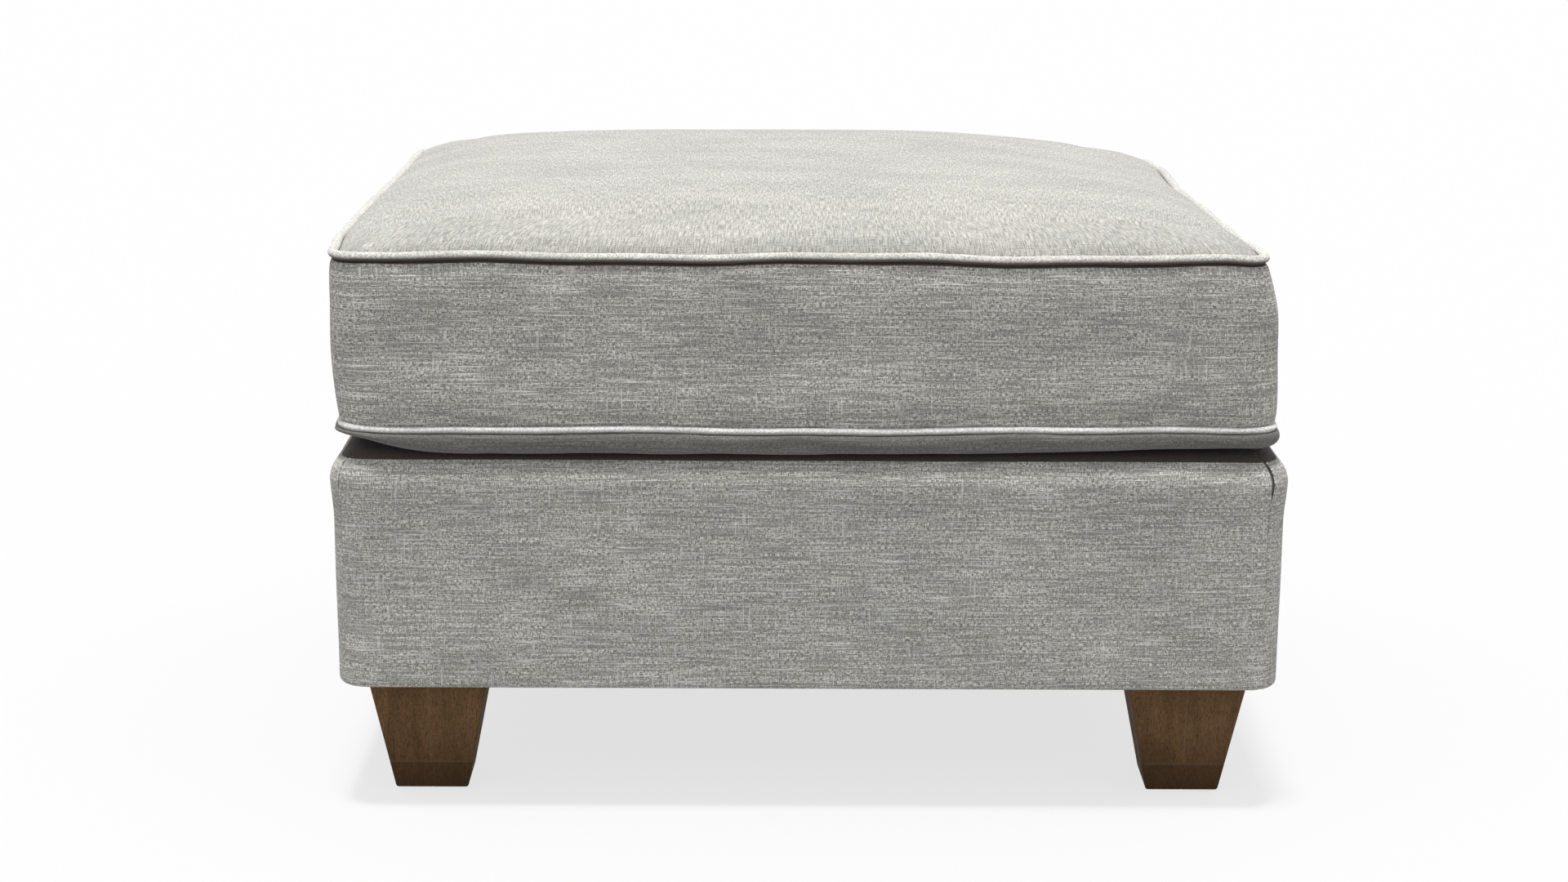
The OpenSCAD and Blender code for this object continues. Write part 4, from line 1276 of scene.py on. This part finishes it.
@dataclass
class Cushion:
    """The loose cushion: panels cut from the skin, welts along both seams, the zip's strips and the filling."""

    dresser: Dresser
    shell: CushionShell = field(default_factory=CushionShell)
    cloth: float = 0.0015
    cord_radius: float = 0.0025
    zip_reach: float = 0.302
    back_y: float = 0.25
    zip_cloth: float = 0.0009
    zip_fold: float = 0.0016
    fill: float = 0.85
    filling_middle: tuple[float, float, float] = (0.0, 0.0, 0.38)
    filling_scale: tuple[float, float, float] = (0.995, 0.994, 0.985)

    def build(self) -> None:
        """Makes every piece of the cushion."""
        self.skin = self.shell.inflate()
        self.panel("cushion_top_panel", True, Finish.LINEN_TOP)
        # The bottom panel's finish is the linen darkened as painted shade.
        self.panel("cushion_bottom_panel", False, Finish.LINEN_UNDER_PAINTED_SHADE)
        self.boxing()
        # The welts' finishes hold a painted highlight and painted shade.
        self.welt("top_welt", 0, Finish.LINEN_WELT_PAINTED_LIGHT_SHADE, reach=0.0036, lift=0.0006, radius=0.0039, squeeze=0.84)
        self.welt("bottom_welt", len(self.shell.heights) - 1, Finish.LINEN_LOW_WELT_PAINTED_LIGHT_SHADE, reach=0.0040, lift=0.0018,
                  radius=0.0036, squeeze=0.72)
        self.filling()

    def panel(self, name: str, top: bool, finish: Finish) -> None:
        """Cuts the top or bottom panel out of the skin, with the cloth's threads along X and Y.

        Args:
            name: the piece's name, and the CAD node's that it stands for.
            top: True for the top panel.
            finish: its finish.
        """
        sh = self.shell
        band = len(sh.top_band if top else sh.low_band)
        grid = self.skin[sh.spans[0 if top else 4]]
        rows = self.skin[sh.ring_ids[:band + 2] if top else sh.ring_ids[::-1][:band + 2]]
        points = np.vstack([grid, rows[1:].reshape(-1, 3)])
        border = sh.ring.border()
        rings = np.vstack([border[None], len(grid) + np.arange((band + 1) * sh.count).reshape(-1, sh.count)])
        side = rings.ravel()[grid_quads(band + 2, sh.count, wrap=True)]
        faces = np.vstack([grid_quads(sh.ring.deep + 1, sh.ring.across + 1), side[:, ::-1]])
        _, out = sh.ring.outline()
        steps = np.linalg.norm(np.diff(rows, axis=0), axis=2).mean(1)
        uv_rows = grid[border, :2] + np.cumsum(steps)[:, None, None] * out
        uv = np.vstack([grid[:, :2], uv_rows.reshape(-1, 2)])
        if not top:
            faces = faces[:, ::-1]
        piece = mesh_object(name, points, faces, uv[faces])
        add_wall(piece, self.cloth)
        self.dresser.dress(piece, finish, Body.CUSHION, "cover_cloth", (name,))

    def boxing(self) -> None:
        """Cuts the boxing into its long strip round the front and sides and the two zip strips at the back."""
        sh = self.shell
        first = 1 + len(sh.top_band)
        ids = sh.ring_ids[first:first + len(sh.heights)]
        rows = self.skin[ids]
        x, y = rows[0, :, 0], rows[0, :, 1]
        u = np.broadcast_to(sh.along[None, :], (len(rows), sh.count + 1))
        v = np.broadcast_to(sh.heights[:, None], u.shape)
        uv = np.stack([u, v], -1)
        back = (y > self.back_y) & (np.abs(x) < self.zip_reach)
        start = int(np.argmax(back))
        stop = start + int(back.sum())
        order = np.concatenate([np.arange(stop - 1, sh.count), np.arange(0, start + 1)])
        long_uv = np.concatenate([uv[:, stop - 1:sh.count], uv[:, :start + 1] + [sh.along[-1], 0.0]], 1)
        strip = surface("cushion_boxing", rows[:, order], long_uv)
        add_wall(strip, self.cloth)
        self.dresser.dress(strip, Finish.LINEN_BOXING, Body.CUSHION, "cover_cloth", ("cushion_boxing",))
        half = len(sh.heights) // 2
        for name, part, edge in (("zip_boxing_upper", slice(0, half), -1),
                                 ("zip_boxing_lower", slice(half + 1, None), 0)):
            cut, cut_uv = rows[part, start - 1:stop + 1], uv[part, start - 1:stop + 1]
            at = 0 if edge == 0 else len(cut)
            cut = np.insert(cut, at, cut[edge] - [0.0, self.zip_fold, 0.0], axis=0)
            cut_uv = np.insert(cut_uv, at, cut_uv[edge], axis=0)
            piece = surface(name, cut, cut_uv)
            add_wall(piece, self.zip_cloth)
            self.dresser.dress(piece, Finish.LINEN_BOXING, Body.CUSHION, "cover_cloth", (name,))

    def welt(self, name: str, row: int, finish: Finish, reach: float, lift: float, radius: float,
             squeeze: float) -> None:
        """Carries the welt round a seam, a little outside it, with a slight unevenness of its girth.

        The girth is 1 plus a few ripples along the welt, the lumps are two low waves that wind round it, and the
        section is an ellipse.

        Args:
            name: the piece's name.
            row: the seam's row in the boxing.
            finish: its finish.
            reach: how far its middle sits outside the seam.
            lift: how far it sits above the seam.
            radius: mean of its half height and half width.
            squeeze: height of its section over its width.
        """
        sh = self.shell
        _, out = sh.ring.outline()
        seam = self.skin[sh.ring_ids[1 + len(sh.top_band) + row]]
        path = seam + np.column_stack([out * reach, np.full(sh.count, lift)])
        fine = closed_curve(path, 760)
        s = np.linspace(0, sh.along[-1], len(fine), endpoint=False)
        girth = 1 + ripple(s, ((0.018, 0.031, 0.1), (0.014, 0.0173, 0.6), (0.012, 0.083, 0.3)))
        steps = 14
        a = np.linspace(0, 2 * np.pi, steps, endpoint=False)
        turns = 2 * np.pi * s[:, None]
        lumps = 0.02 * np.sin(3 * a[None] + turns / 0.045) + 0.012 * np.sin(2 * a[None] - turns / 0.023)
        oval = math.sqrt(squeeze) / np.hypot(np.cos(a), squeeze * np.sin(a))
        piece = tube(name, fine, radius * (girth[:, None] + lumps) * oval[None], steps)
        self.dresser.dress(piece, finish, Body.CUSHION, "cover_cloth", (name,))
        cord = tube(name + "_cord", fine[::2], self.cord_radius * math.sqrt(squeeze), 8)
        self.dresser.dress(cord, Finish.FIBRE, Body.CUSHION, "fibre", (name + "_cord",))

    def filling(self) -> None:
        """Lets the fibre and the foam follow the settled cover: copies of the CAD solids, moved point by point."""
        middle = np.array(self.filling_middle)
        for name, finish, slot in (("fibre_wrap_top", Finish.FIBRE, "fibre"),
                                   ("fibre_wrap_bottom", Finish.FIBRE, "fibre"),
                                   ("foam_core", Finish.FOAM, "foam")):
            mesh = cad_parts[name].data
            corners = np.empty(len(mesh.loops), np.int32)
            mesh.loops.foreach_get("vertex_index", corners)
            moved = middle + (self.shell.settle(vertex_places(mesh)) - middle) * self.filling_scale
            piece = mesh_object(name, moved, corners.reshape(-1, 3), smooth=False)
            self.dresser.dress(piece, finish, Body.CUSHION, slot, (name,))


def closed_curve(path: Array, count: int) -> Array:
    """Smooth closed curve through points: a Catmull-Rom spline, stepped evenly by distance.

    Args:
        path: (n, 3) points.
        count: how many steps.

    Returns:
        (count, 3) places.
    """
    gap = np.linalg.norm(np.roll(path, -1, 0) - path, axis=1)
    at = np.concatenate([[0.0], np.cumsum(gap)])
    s = np.linspace(0, at[-1], count, endpoint=False)
    i = np.clip(np.searchsorted(at, s, side="right") - 1, 0, len(path) - 1)
    t = ((s - at[i]) / gap[i])[:, None]
    n = len(path)
    p0, p1, p2, p3 = path[(i - 1) % n], path[i], path[(i + 1) % n], path[(i + 2) % n]
    return 0.5 * (2 * p1 + (p2 - p0) * t + (2 * p0 - 5 * p1 + 4 * p2 - p3) * t ** 2
                  + (3 * p1 - p0 - 3 * p2 + p3) * t ** 3)


# ---------------------------------------------------------------------------------------------
# The base
# ---------------------------------------------------------------------------------------------


@dataclass
class CoverPanel:
    """One side of the base's cover: turn-in, hem, wall, rolled shoulder and half the mitred deck border."""

    side: Side
    half_width: float
    half_depth: float
    corner: float = 0.028
    low_z: float = 0.1006
    deck_z: float = 0.294
    hem: float = 0.005
    shoulder: float = 0.025
    wall: float = 0.026
    roll: float = 0.0005
    turn_in: float = 0.034
    border: float = 0.080
    groove: float = 0.0010
    groove_width: float = 0.0010
    seam_pull: float = 0.005
    seam_shift: float = 0.0075

    def profile(self) -> tuple[Array, Array]:
        """Section from the turn-in to the deck: straight in under the frame, a small round hem, the wall, the
        shoulder's quarter circle that stands out past it, and the flat border.

        Returns:
            Distance outwards from the corner's axis, and height.
        """
        hem_x = self.wall - self.hem
        turn = np.linspace(self.corner - self.turn_in, hem_x, 5)[:-1]
        a = np.radians(np.linspace(-90, 0, 7))
        shoulder_z = self.deck_z - self.shoulder
        ease_from = shoulder_z - 0.030
        wall_z = np.linspace(self.low_z + self.hem, ease_from, 12)[1:]
        ease_z = np.linspace(ease_from, shoulder_z, 7)[1:-1]
        b = np.radians(np.linspace(0, 90, 11))
        shoulder_x = self.corner - self.shoulder
        flat = np.linspace(shoulder_x, self.corner - self.border, 9)[1:]
        edge = self.corner + self.roll
        rise = smooth_step(ease_z, shoulder_z - 0.034, shoulder_z + 0.004)
        out = np.concatenate([turn, hem_x + self.hem * np.cos(a), np.full(len(wall_z), self.wall),
                              self.wall + (edge - self.wall) * rise,
                              shoulder_x + (edge - shoulder_x) * np.cos(b), flat])
        z = np.concatenate([np.full(4, self.low_z), self.low_z + self.hem + self.hem * np.sin(a), wall_z, ease_z,
                            shoulder_z + self.shoulder * np.sin(b), np.full(8, self.deck_z)])
        z[-1] -= 0.0012  # the border's inner edge goes under the deck cloth's
        return out, z

    def columns(self) -> tuple[Array, Array]:
        """Where the columns of points lie along a side.

        Returns:
            Distances from a seam for the columns near it, and even shares, from -1 to 1, for the ones between.
        """
        near = np.array([0.0, 0.0005, 0.0011, 0.0018, 0.0028, 0.0045, 0.007, 0.0105, 0.015, 0.020, 0.026])
        between = np.linspace(-1, 1, 34)
        return near, between

    def surface(self) -> tuple[Array, Array]:
        """Carries the section round: straight along the side, then an eighth of a circle to each mitre.

        Each place is then moved square to the cloth: in by a narrow groove at each seam, and out or in by the slow
        ripples of a soft wall.

        Returns:
            (rows, cols, 3) places and (rows, cols, 2) places in the cloth.
        """
        out, z = self.profile()
        front = self.side in (Side.FRONT, Side.BACK)
        run, depth = (self.half_width, self.half_depth) if front else (self.half_depth, self.half_width)
        ax, ay = run - self.corner, depth - self.corner
        near, between = self.columns()
        keep = near[-1] + 0.002
        # Where the two seams run: at the mitres, but nearer the front at the front right corner.
        half = (ax + np.maximum(out, 0) * np.pi / 4 + np.minimum(out, 0))[:, None]
        moved = self.seam_shift * smooth_step(out, 0.002, 0.014)[:, None]
        low_end = -half - moved * (self.side is Side.RIGHT)
        high_end = half - moved * (self.side is Side.FRONT)
        gap = self.opening(z, out)
        # p is the distance along the side from its middle, for each row and column.
        near = near[None]
        left = low_end + near + gap[:, 0:1] * np.exp(-near / self.seam_pull)
        right = high_end - near[:, ::-1] - gap[:, 1:2] * np.exp(-near[:, ::-1] / self.seam_pull)
        mid = (low_end + high_end) / 2 + between[None] * ((high_end - low_end) / 2 - keep)
        p = np.concatenate([left, mid, right], 1)
        beside = np.minimum(p - low_end, high_end - p)
        # Past the straight part the rows bend round the corner's axis by the angle phi.
        straight = ax + np.minimum(out, 0)[:, None]
        beyond = np.clip(np.abs(p) - straight, 0, None)
        u = out[:, None]
        phi = np.where(u > 1e-6, beyond / np.maximum(u, 1e-6), 0.0)
        safe = np.maximum(u, 0)
        x = np.where(beyond > 0, np.sign(p) * (ax + safe * np.sin(phi)), p)
        y = np.where(u > 0, -(ay + u * np.where(beyond > 0, np.cos(phi), 1.0)), -(ay + u))
        nx, ny = np.where(beyond > 0, np.sign(p) * np.sin(phi), 0.0), -np.where(beyond > 0, np.cos(phi), 1.0)
        # The direction square to the cloth, from the slope of the section.
        rise, run_out = np.gradient(z), np.gradient(out)
        size = np.hypot(rise, run_out)
        n_out, n_up = (rise / size)[:, None], (-run_out / size)[:, None]
        s = np.concatenate([[0.0], np.cumsum(np.hypot(np.diff(out), np.diff(z)))])[:, None]
        # The seam at the front left corner is almost flat, the others show most of the groove or all of it.
        faint = {Side.FRONT: np.where(p < 0, 1.0, 0.4), Side.LEFT: np.where(p > 0, 1.0, 0.0)}.get(self.side, 0.4)
        wide = self.groove * (1.0 - 0.9 * faint + 1.9 * np.maximum(gap.max(1, keepdims=True), 0) / 0.0012)
        dip = -wide * np.exp(-(np.clip(beside, 0, None) / self.groove_width) ** 1.5)
        soft = 0.0004 + ripple(p + self.side.value * 0.37, ((0.0004, 0.23, 0.1), (0.00025, 0.111, 0.5)))
        soft = soft * smooth_step(z, 0.12, 0.2)[:, None] * smooth_step(-z, -0.2935, -0.28)[:, None]
        move = dip + soft
        places = np.stack([x + move * n_out * nx, y + move * n_out * ny, z[:, None] + move * n_up], -1)
        return turned(places, self.side.value), np.stack([p, np.broadcast_to(s, p.shape)], -1)

    def opening(self, z: Array, out: Array) -> Array:
        """How far the mitred seams gape: only at the front right corner, over the shoulder.

        Args:
            z: heights of the section.
            out: distances of the section from the corner's axis.

        Returns:
            (rows, 2) openings at the left and the right end.
        """
        shut, tight = np.full(len(z), -0.0003), np.full(len(z), -0.0007)
        wide = tight + 0.0015 * smooth_step(z, 0.254, 0.268) * smooth_step(out, 0.010, 0.018)
        ends = {Side.FRONT: (tight, wide), Side.RIGHT: (wide, shut), Side.LEFT: (shut, tight)}
        return np.stack(ends.get(self.side, (shut, shut)), 1)


@dataclass
class Base:
    """The upholstered base: cover panels with their seams and stitches, the deck, the dust cloth and the legs."""

    dresser: Dresser
    half_width: float = 0.381
    half_depth: float = 0.305
    border: float = 0.080
    deck_z: float = 0.294
    cloth: float = 0.0015
    dust_cloth_thickness: float = 0.0005
    leg_at: tuple[float, float] = (0.308, 0.232)
    seam_pitch: float = 0.0052
    deck_pitch: float = 0.0042
    staple_pitch: float = 0.034

    def build(self) -> None:
        """Makes every piece of the base."""
        ends = []
        for side in Side:
            panel = CoverPanel(side, self.half_width, self.half_depth)
            places, uv = panel.surface()
            name = "cover_" + side.name.lower()
            piece = surface(name, places, uv)
            add_wall(piece, self.cloth)
            self.dresser.dress(piece, Finish.LINEN_SIDE, Body.BASE, "cover_cloth", (name,))
            ends.append(places)
        self.seam_stitches(ends)
        self.deck()
        self.dust_cloth()
        for sign_x in (-1, 1):
            for sign_y in (-1, 1):
                Leg(sign_x, sign_y).build(self.dresser)

    def seam_stitches(self, panels: list[Array]) -> None:
        """Ladder stitches across the four corner seams: one small rod every few millimetres down the wall.

        Args:
            panels: the places of the four cover panels, in the order of the sides.
        """
        middle, along, up = [], [], []
        for k in range(4):
            here, there = panels[k][:, -3], panels[(k + 1) % 4][:, 2]
            rows = (here[:, 2] > 0.112) & (here[:, 2] < 0.288)
            a, b = here[rows], there[rows]
            order = np.argsort(a[:, 2])
            a, b = a[order], b[order]
            z = np.arange(0.114, 0.262 if k == 0 else 0.286, self.seam_pitch)
            pa = np.stack([np.interp(z, a[:, 2], a[:, c]) for c in range(3)], 1)
            pb = np.stack([np.interp(z, b[:, 2], b[:, c]) for c in range(3)], 1)
            out = np.sign(pa + pb) * [1.0, 1.0, 0.0] / math.sqrt(2)
            middle.append((pa + pb) / 2 - out * (0.0004 if k < 3 else 0.0007))
            along.append(pb - pa)
            up.append(out)
        piece = capsules("seam_stitches", np.vstack(middle), np.vstack(along), np.vstack(up), 0.0030, 0.00035)
        self.dresser.dress(piece, Finish.LINEN_THREAD, Body.BASE, "cover_cloth")

    def deck(self) -> None:
        """Decking cloth with a shallow hollow over each spring, and the line of stitches on the border round it."""
        hx, hy = self.half_width - self.border, self.half_depth - self.border
        x, y = np.meshgrid(np.linspace(-hx, hx, 81), np.linspace(-hy, hy, 61))
        rim = smooth_step(np.minimum(hx - np.abs(x), hy - np.abs(y)), 0.0, 0.03)
        z = self.deck_z - 0.0010 + 0.0006 * rim + 0.0003 * rim * np.cos(2 * np.pi * x / 0.134)
        piece = surface("deck_cloth", np.stack([x, y, z], -1), np.stack([x, y], -1))
        add_wall(piece, self.cloth * 0.8, rounded=False)
        self.dresser.dress(piece, Finish.DECK_LINING, Body.BASE, "deck_lining", ("deck_cloth",))
        outside = 0.0025
        place, ahead = round_rectangle(hx + outside, hy + outside, np.arange(0, 4 * (hx + hy), self.deck_pitch))
        place[:, 2] = self.deck_z + 0.00005
        thread = capsules("deck_stitches", place, ahead, np.array([0.0, 0.0, 1.0]), 0.0031, 0.0003)
        self.dresser.dress(thread, Finish.LINEN_THREAD, Body.BASE, "cover_cloth")

    def dust_cloth(self) -> None:
        """Dust cloth that sags a little between its staples, with its turned edge and the staples."""
        lo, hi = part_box("dust_cover")
        hx, hy = hi[0], hi[1]
        low = lo[2]
        x, y = np.meshgrid(np.linspace(-hx, hx, 91), np.linspace(-hy, hy, 71))
        edge = np.minimum(hx - np.abs(x), hy - np.abs(y))
        near_leg = bell((np.abs(x), self.leg_at[0], 0.075), (np.abs(y), self.leg_at[1], 0.075))
        sag = smooth_step(edge, 0.012, 0.16) * (1 - np.clip(near_leg * 1.6, 0, 1))
        in_border = smooth_step(edge, 0.0, 0.01) * smooth_step(-edge, -0.05, -0.01)
        z = low + 0.0003 - 0.0022 * sag + 0.0004 * np.cos(2 * np.pi * x / 0.06) * in_border
        piece = surface("dust_cover", np.stack([x, y, z], -1), np.stack([x, y], -1), flip=True)
        add_wall(piece, self.dust_cloth_thickness, rounded=False)
        self.dresser.dress(piece, Finish.DUST_CLOTH, Body.BASE, "dust_cloth", ("dust_cover",))
        inset = 0.012
        cx, cy = hx - inset, hy - inset
        place, ahead = round_rectangle(cx, cy, np.arange(0.02, 4 * (cx + cy), self.staple_pitch))
        from_leg = np.abs(np.abs(place[:, :2]) - self.leg_at)
        keep = (from_leg > 0.055).any(axis=1)
        place, ahead = place[keep], ahead[keep]
        place[:, 2] = low - 0.0002
        staples = capsules("dust_staples", place, ahead, np.array([0.0, 0.0, -1.0]), 0.0105, 0.0005)
        self.dresser.dress(staples, Finish.STAPLE, Body.BASE, "steel")


@dataclass
class Leg:
    """Block leg, tapered on all four sides, with eased edges and a fine groove up each face where boards meet.

    The section at each height is a square with rounded corners, scaled evenly from the foot's size to the top's,
    and drawn in a little at both ends and at the line where the darker foot begins.
    """

    sign_x: int
    sign_y: int
    top: float = 0.096
    foot: float = 0.059
    low: float = 0.003
    high: float = 0.1
    ease: float = 0.0016
    line: float = 0.0270
    line_depth: float = 0.00035
    line_width: float = 0.00022
    groove: tuple[tuple[float, float], ...] = ((-0.0006, 0.0), (-0.0002, 0.00022), (0.0, 0.0003), (0.0002, 0.00022),
                                               (0.0006, 0.0))
    levels: tuple[float, ...] = (0.0030, 0.0033, 0.0040, 0.0052, 0.012, 0.0262, 0.0268, 0.0270, 0.0272, 0.0278,
                                 0.045, 0.065, 0.085, 0.0985, 0.0996, 0.1000)
    ends: tuple[tuple[float, float], ...] = ((0.003, 0.0014), (0.0033, 0.0007), (0.004, 0.0002), (0.0052, 0.0),
                                             (0.0985, 0.0), (0.0996, 0.0002), (0.1, 0.0007))

    def face(self) -> Array:
        """The front face and the halves of its corners' roundings, level by level.

        Returns:
            (levels, points, 3) places about the leg's middle, from left to right.
        """
        levels = np.array(self.levels)
        drawn_in = np.interp(levels, *np.transpose(self.ends))
        cut = self.line_depth * np.exp(-((levels - self.line) / self.line_width) ** 2)
        share = (levels - self.low) / (self.high - self.low)
        half = ((self.foot + (self.top - self.foot) * share) / 2 - drawn_in - cut)[:, None]
        flat = half - self.ease
        lead = np.radians([-45, -22, 0])
        tail = lead[:0:-1]
        run, side = flat * [0.6, 0.25], np.repeat(half, 2, axis=1)
        groove_x, dip = np.transpose(self.groove)
        x = np.concatenate([-flat + self.ease * np.sin(lead), -run, np.tile(groove_x, (len(levels), 1)),
                            run[:, ::-1], flat - self.ease * np.sin(tail)], 1)
        y = np.concatenate([-flat - self.ease * np.cos(lead), -side, dip - half, -side,
                            -flat - self.ease * np.cos(tail)], 1)
        return np.stack([x, y, np.broadcast_to(levels[:, None], x.shape)], -1)

    def build(self, dresser: Dresser) -> None:
        """Makes the leg: four faces turned about its middle, and a cap at each end.

        Args:
            dresser: who holds the finishes.
        """
        name = f"leg_{'front' if self.sign_y < 0 else 'back'}_{'left' if self.sign_x < 0 else 'right'}"
        lo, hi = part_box(name)
        centre = np.array([(lo[0] + hi[0]) / 2, (lo[1] + hi[1]) / 2, 0.0])
        face = self.face()
        count = face.shape[1]
        places = np.concatenate([turned(face, k) for k in range(4)], 1) + centre
        rows, cols = places.shape[:2]
        faces = grid_quads(rows, cols, wrap=True)
        level, column = faces // cols, faces % cols
        place = column % count
        u = face[level, place, 0]
        # The quad that joins two faces ends at the next face's first point, whose U counts as positive there.
        beside_last = (np.roll(place, 1, 1) == count - 1) | (np.roll(place, -1, 1) == count - 1)
        u = np.where((place == 0) & beside_last, np.abs(u), u)
        uv = np.stack([u, np.array(self.levels)[level]], -1)
        cap_uv = (places[[0, -1]] - centre)[..., :2] + [0.2, 0.06]
        ring = np.arange(cols)
        caps = [ring[::-1].tolist(), (ring + (rows - 1) * cols).tolist()]
        piece = mesh_object(name, places.reshape(-1, 3), faces.tolist() + caps,
                            np.concatenate([uv.reshape(-1, 2), cap_uv[0][::-1], cap_uv[1]]))
        piece.data.set_sharp_from_angle(angle=math.radians(40))
        dresser.dress(piece, Finish.LEG, Body.BASE, "leg_wood", (name,))


# ---------------------------------------------------------------------------------------------
# The room
# ---------------------------------------------------------------------------------------------


@dataclass
class Studio:
    """Plain pale floor, soft light from above and the left, and the photograph's view."""

    camera_at: tuple[float, float, float] = (-0.025, -2.683, 0.858)
    pitch: float = 13.06
    yaw: float = 0.115
    roll: float = 0.26
    lens: float = 71.25
    sun: float = 3.0
    sun_size: float = 9.0
    sun_tilt: tuple[float, float] = (3.5, -2.0)
    room: float = 0.70
    floor_grey: float = 0.42
    floor_glow: float = 1.18
    glow_share: float = 0.62

    def build(self) -> None:
        """Makes the floor, the lights, the world and the camera."""
        scene = bpy.context.scene
        scene.view_settings.view_transform = "Standard"
        self.floor()
        self.lamp()
        self.world()
        self.camera()

    def floor(self) -> None:
        """Lays a large pale floor that keeps the ottoman's soft shadow and meets the white behind it."""
        corners = np.array([[-30, -30, 0], [30, -30, 0], [30, 30, 0], [-30, 30, 0]], float)
        piece = mesh_object("floor", corners, np.array([[0, 1, 2, 3]]), smooth=False)
        g = Graph("floor_white", (self.floor_grey,) * 3, 0.9)
        g.shader.inputs["Specular IOR Level"].default_value = 0.0
        glow = g.nodes.new("ShaderNodeEmission")
        glow.inputs["Color"].default_value = (1.0, 1.0, 1.0, 1.0)
        glow.inputs["Strength"].default_value = self.floor_glow
        mix = g.nodes.new("ShaderNodeMixShader")
        g.put(mix.inputs[0], g.sum("MULTIPLY", g.seen(), self.glow_share))
        g.links.new(g.shader.outputs[0], mix.inputs[1])
        g.links.new(glow.outputs[0], mix.inputs[2])
        g.links.new(mix.outputs[0], g.nodes["Material Output"].inputs["Surface"])
        piece.data.materials.append(g.material)

    def lamp(self) -> None:
        """Hangs the studio's overhead light, almost straight above, as a sun of a few degrees."""
        data = bpy.data.lights.new("overhead_light", "SUN")
        data.energy = self.sun
        data.angle = math.radians(self.sun_size)
        lamp = bpy.data.objects.new("overhead_light", data)
        lamp.location = (0.0, 0.0, 3.0)
        lamp.rotation_euler = (math.radians(self.sun_tilt[0]), math.radians(self.sun_tilt[1]), 0.0)
        bpy.context.scene.collection.objects.link(lamp)

    def world(self) -> None:
        """Gives an even grey light all round, and white where the camera or a reflection looks past the floor."""
        world = bpy.data.worlds.new("studio")
        world.use_nodes = True
        bpy.context.scene.world = world
        tree = Tree(world.node_tree)
        back = tree.nodes["Background"]
        back.inputs["Color"].default_value = (1.0, 1.0, 1.0, 1.0)
        above_grey = tree.sum("MULTIPLY", tree.seen(), 1.0 - self.room)
        tree.put(back.inputs["Strength"], tree.sum("ADD", above_grey, self.room))

    def camera(self) -> None:
        """Sets the camera from its place, pitch, yaw and roll."""
        yaw, pitch, roll = (math.radians(a) for a in (self.yaw, self.pitch, self.roll))
        ahead = Vector((math.sin(yaw) * math.cos(pitch), math.cos(yaw) * math.cos(pitch), -math.sin(pitch)))
        right = ahead.cross(Vector((0, 0, 1))).normalized()
        up = right.cross(ahead)
        right, up = right * math.cos(roll) + up * math.sin(roll), up * math.cos(roll) - right * math.sin(roll)
        data = bpy.data.cameras.new("camera")
        data.lens = self.lens
        data.sensor_width = 36.0
        camera = bpy.data.objects.new("camera", data)
        camera.matrix_world = Matrix.Translation(self.camera_at) @ Matrix((right, up, -ahead)).transposed().to_4x4()
        bpy.context.scene.collection.objects.link(camera)
        bpy.context.scene.camera = camera


def dress_frame(dresser: Dresser) -> None:
    """Finishes the CAD nodes that keep their shape.

    Args:
        dresser: who holds the finishes.
    """
    dresser.repaint(Finish.FOAM, "deck_foam")
    dresser.repaint(Finish.BURLAP, "spring_cover", "edge_roll")
    dresser.repaint(Finish.PADDING, "frame_padding")
    dresser.repaint(Finish.FRAME_WOOD_X, "rail_front", "rail_back")
    dresser.repaint(Finish.FRAME_WOOD_Y, "rail_left", "rail_right",
                    *(f"corner_block_{a}_{b}" for a in ("front", "back") for b in ("left", "right")))
    dresser.repaint(Finish.STEEL, "rail_screws", "block_screws", "spring_clips", "clip_nails", "stay_wires",
                    "hanger_bolts", "t_nuts", *(f"spring_{n}" for n in range(1, 6)))
    dresser.repaint(Finish.GLIDE, "glides")
    dresser.repaint(Finish.ZIP_TAPE, "zip_tape")
    dresser.repaint(Finish.ZIP_TEETH, "zip_teeth")
    dresser.repaint(Finish.SLIDER, "zip_slider")


def main() -> None:
    """Builds the studio, the base and the cushion, and notes the sizes."""
    logging.basicConfig(level=logging.INFO, format="%(message)s")
    dresser = Dresser()
    Studio().build()
    dress_frame(dresser)
    Base(dresser).build()
    Cushion(dresser).build()


if __name__ == "__main__":
    main()
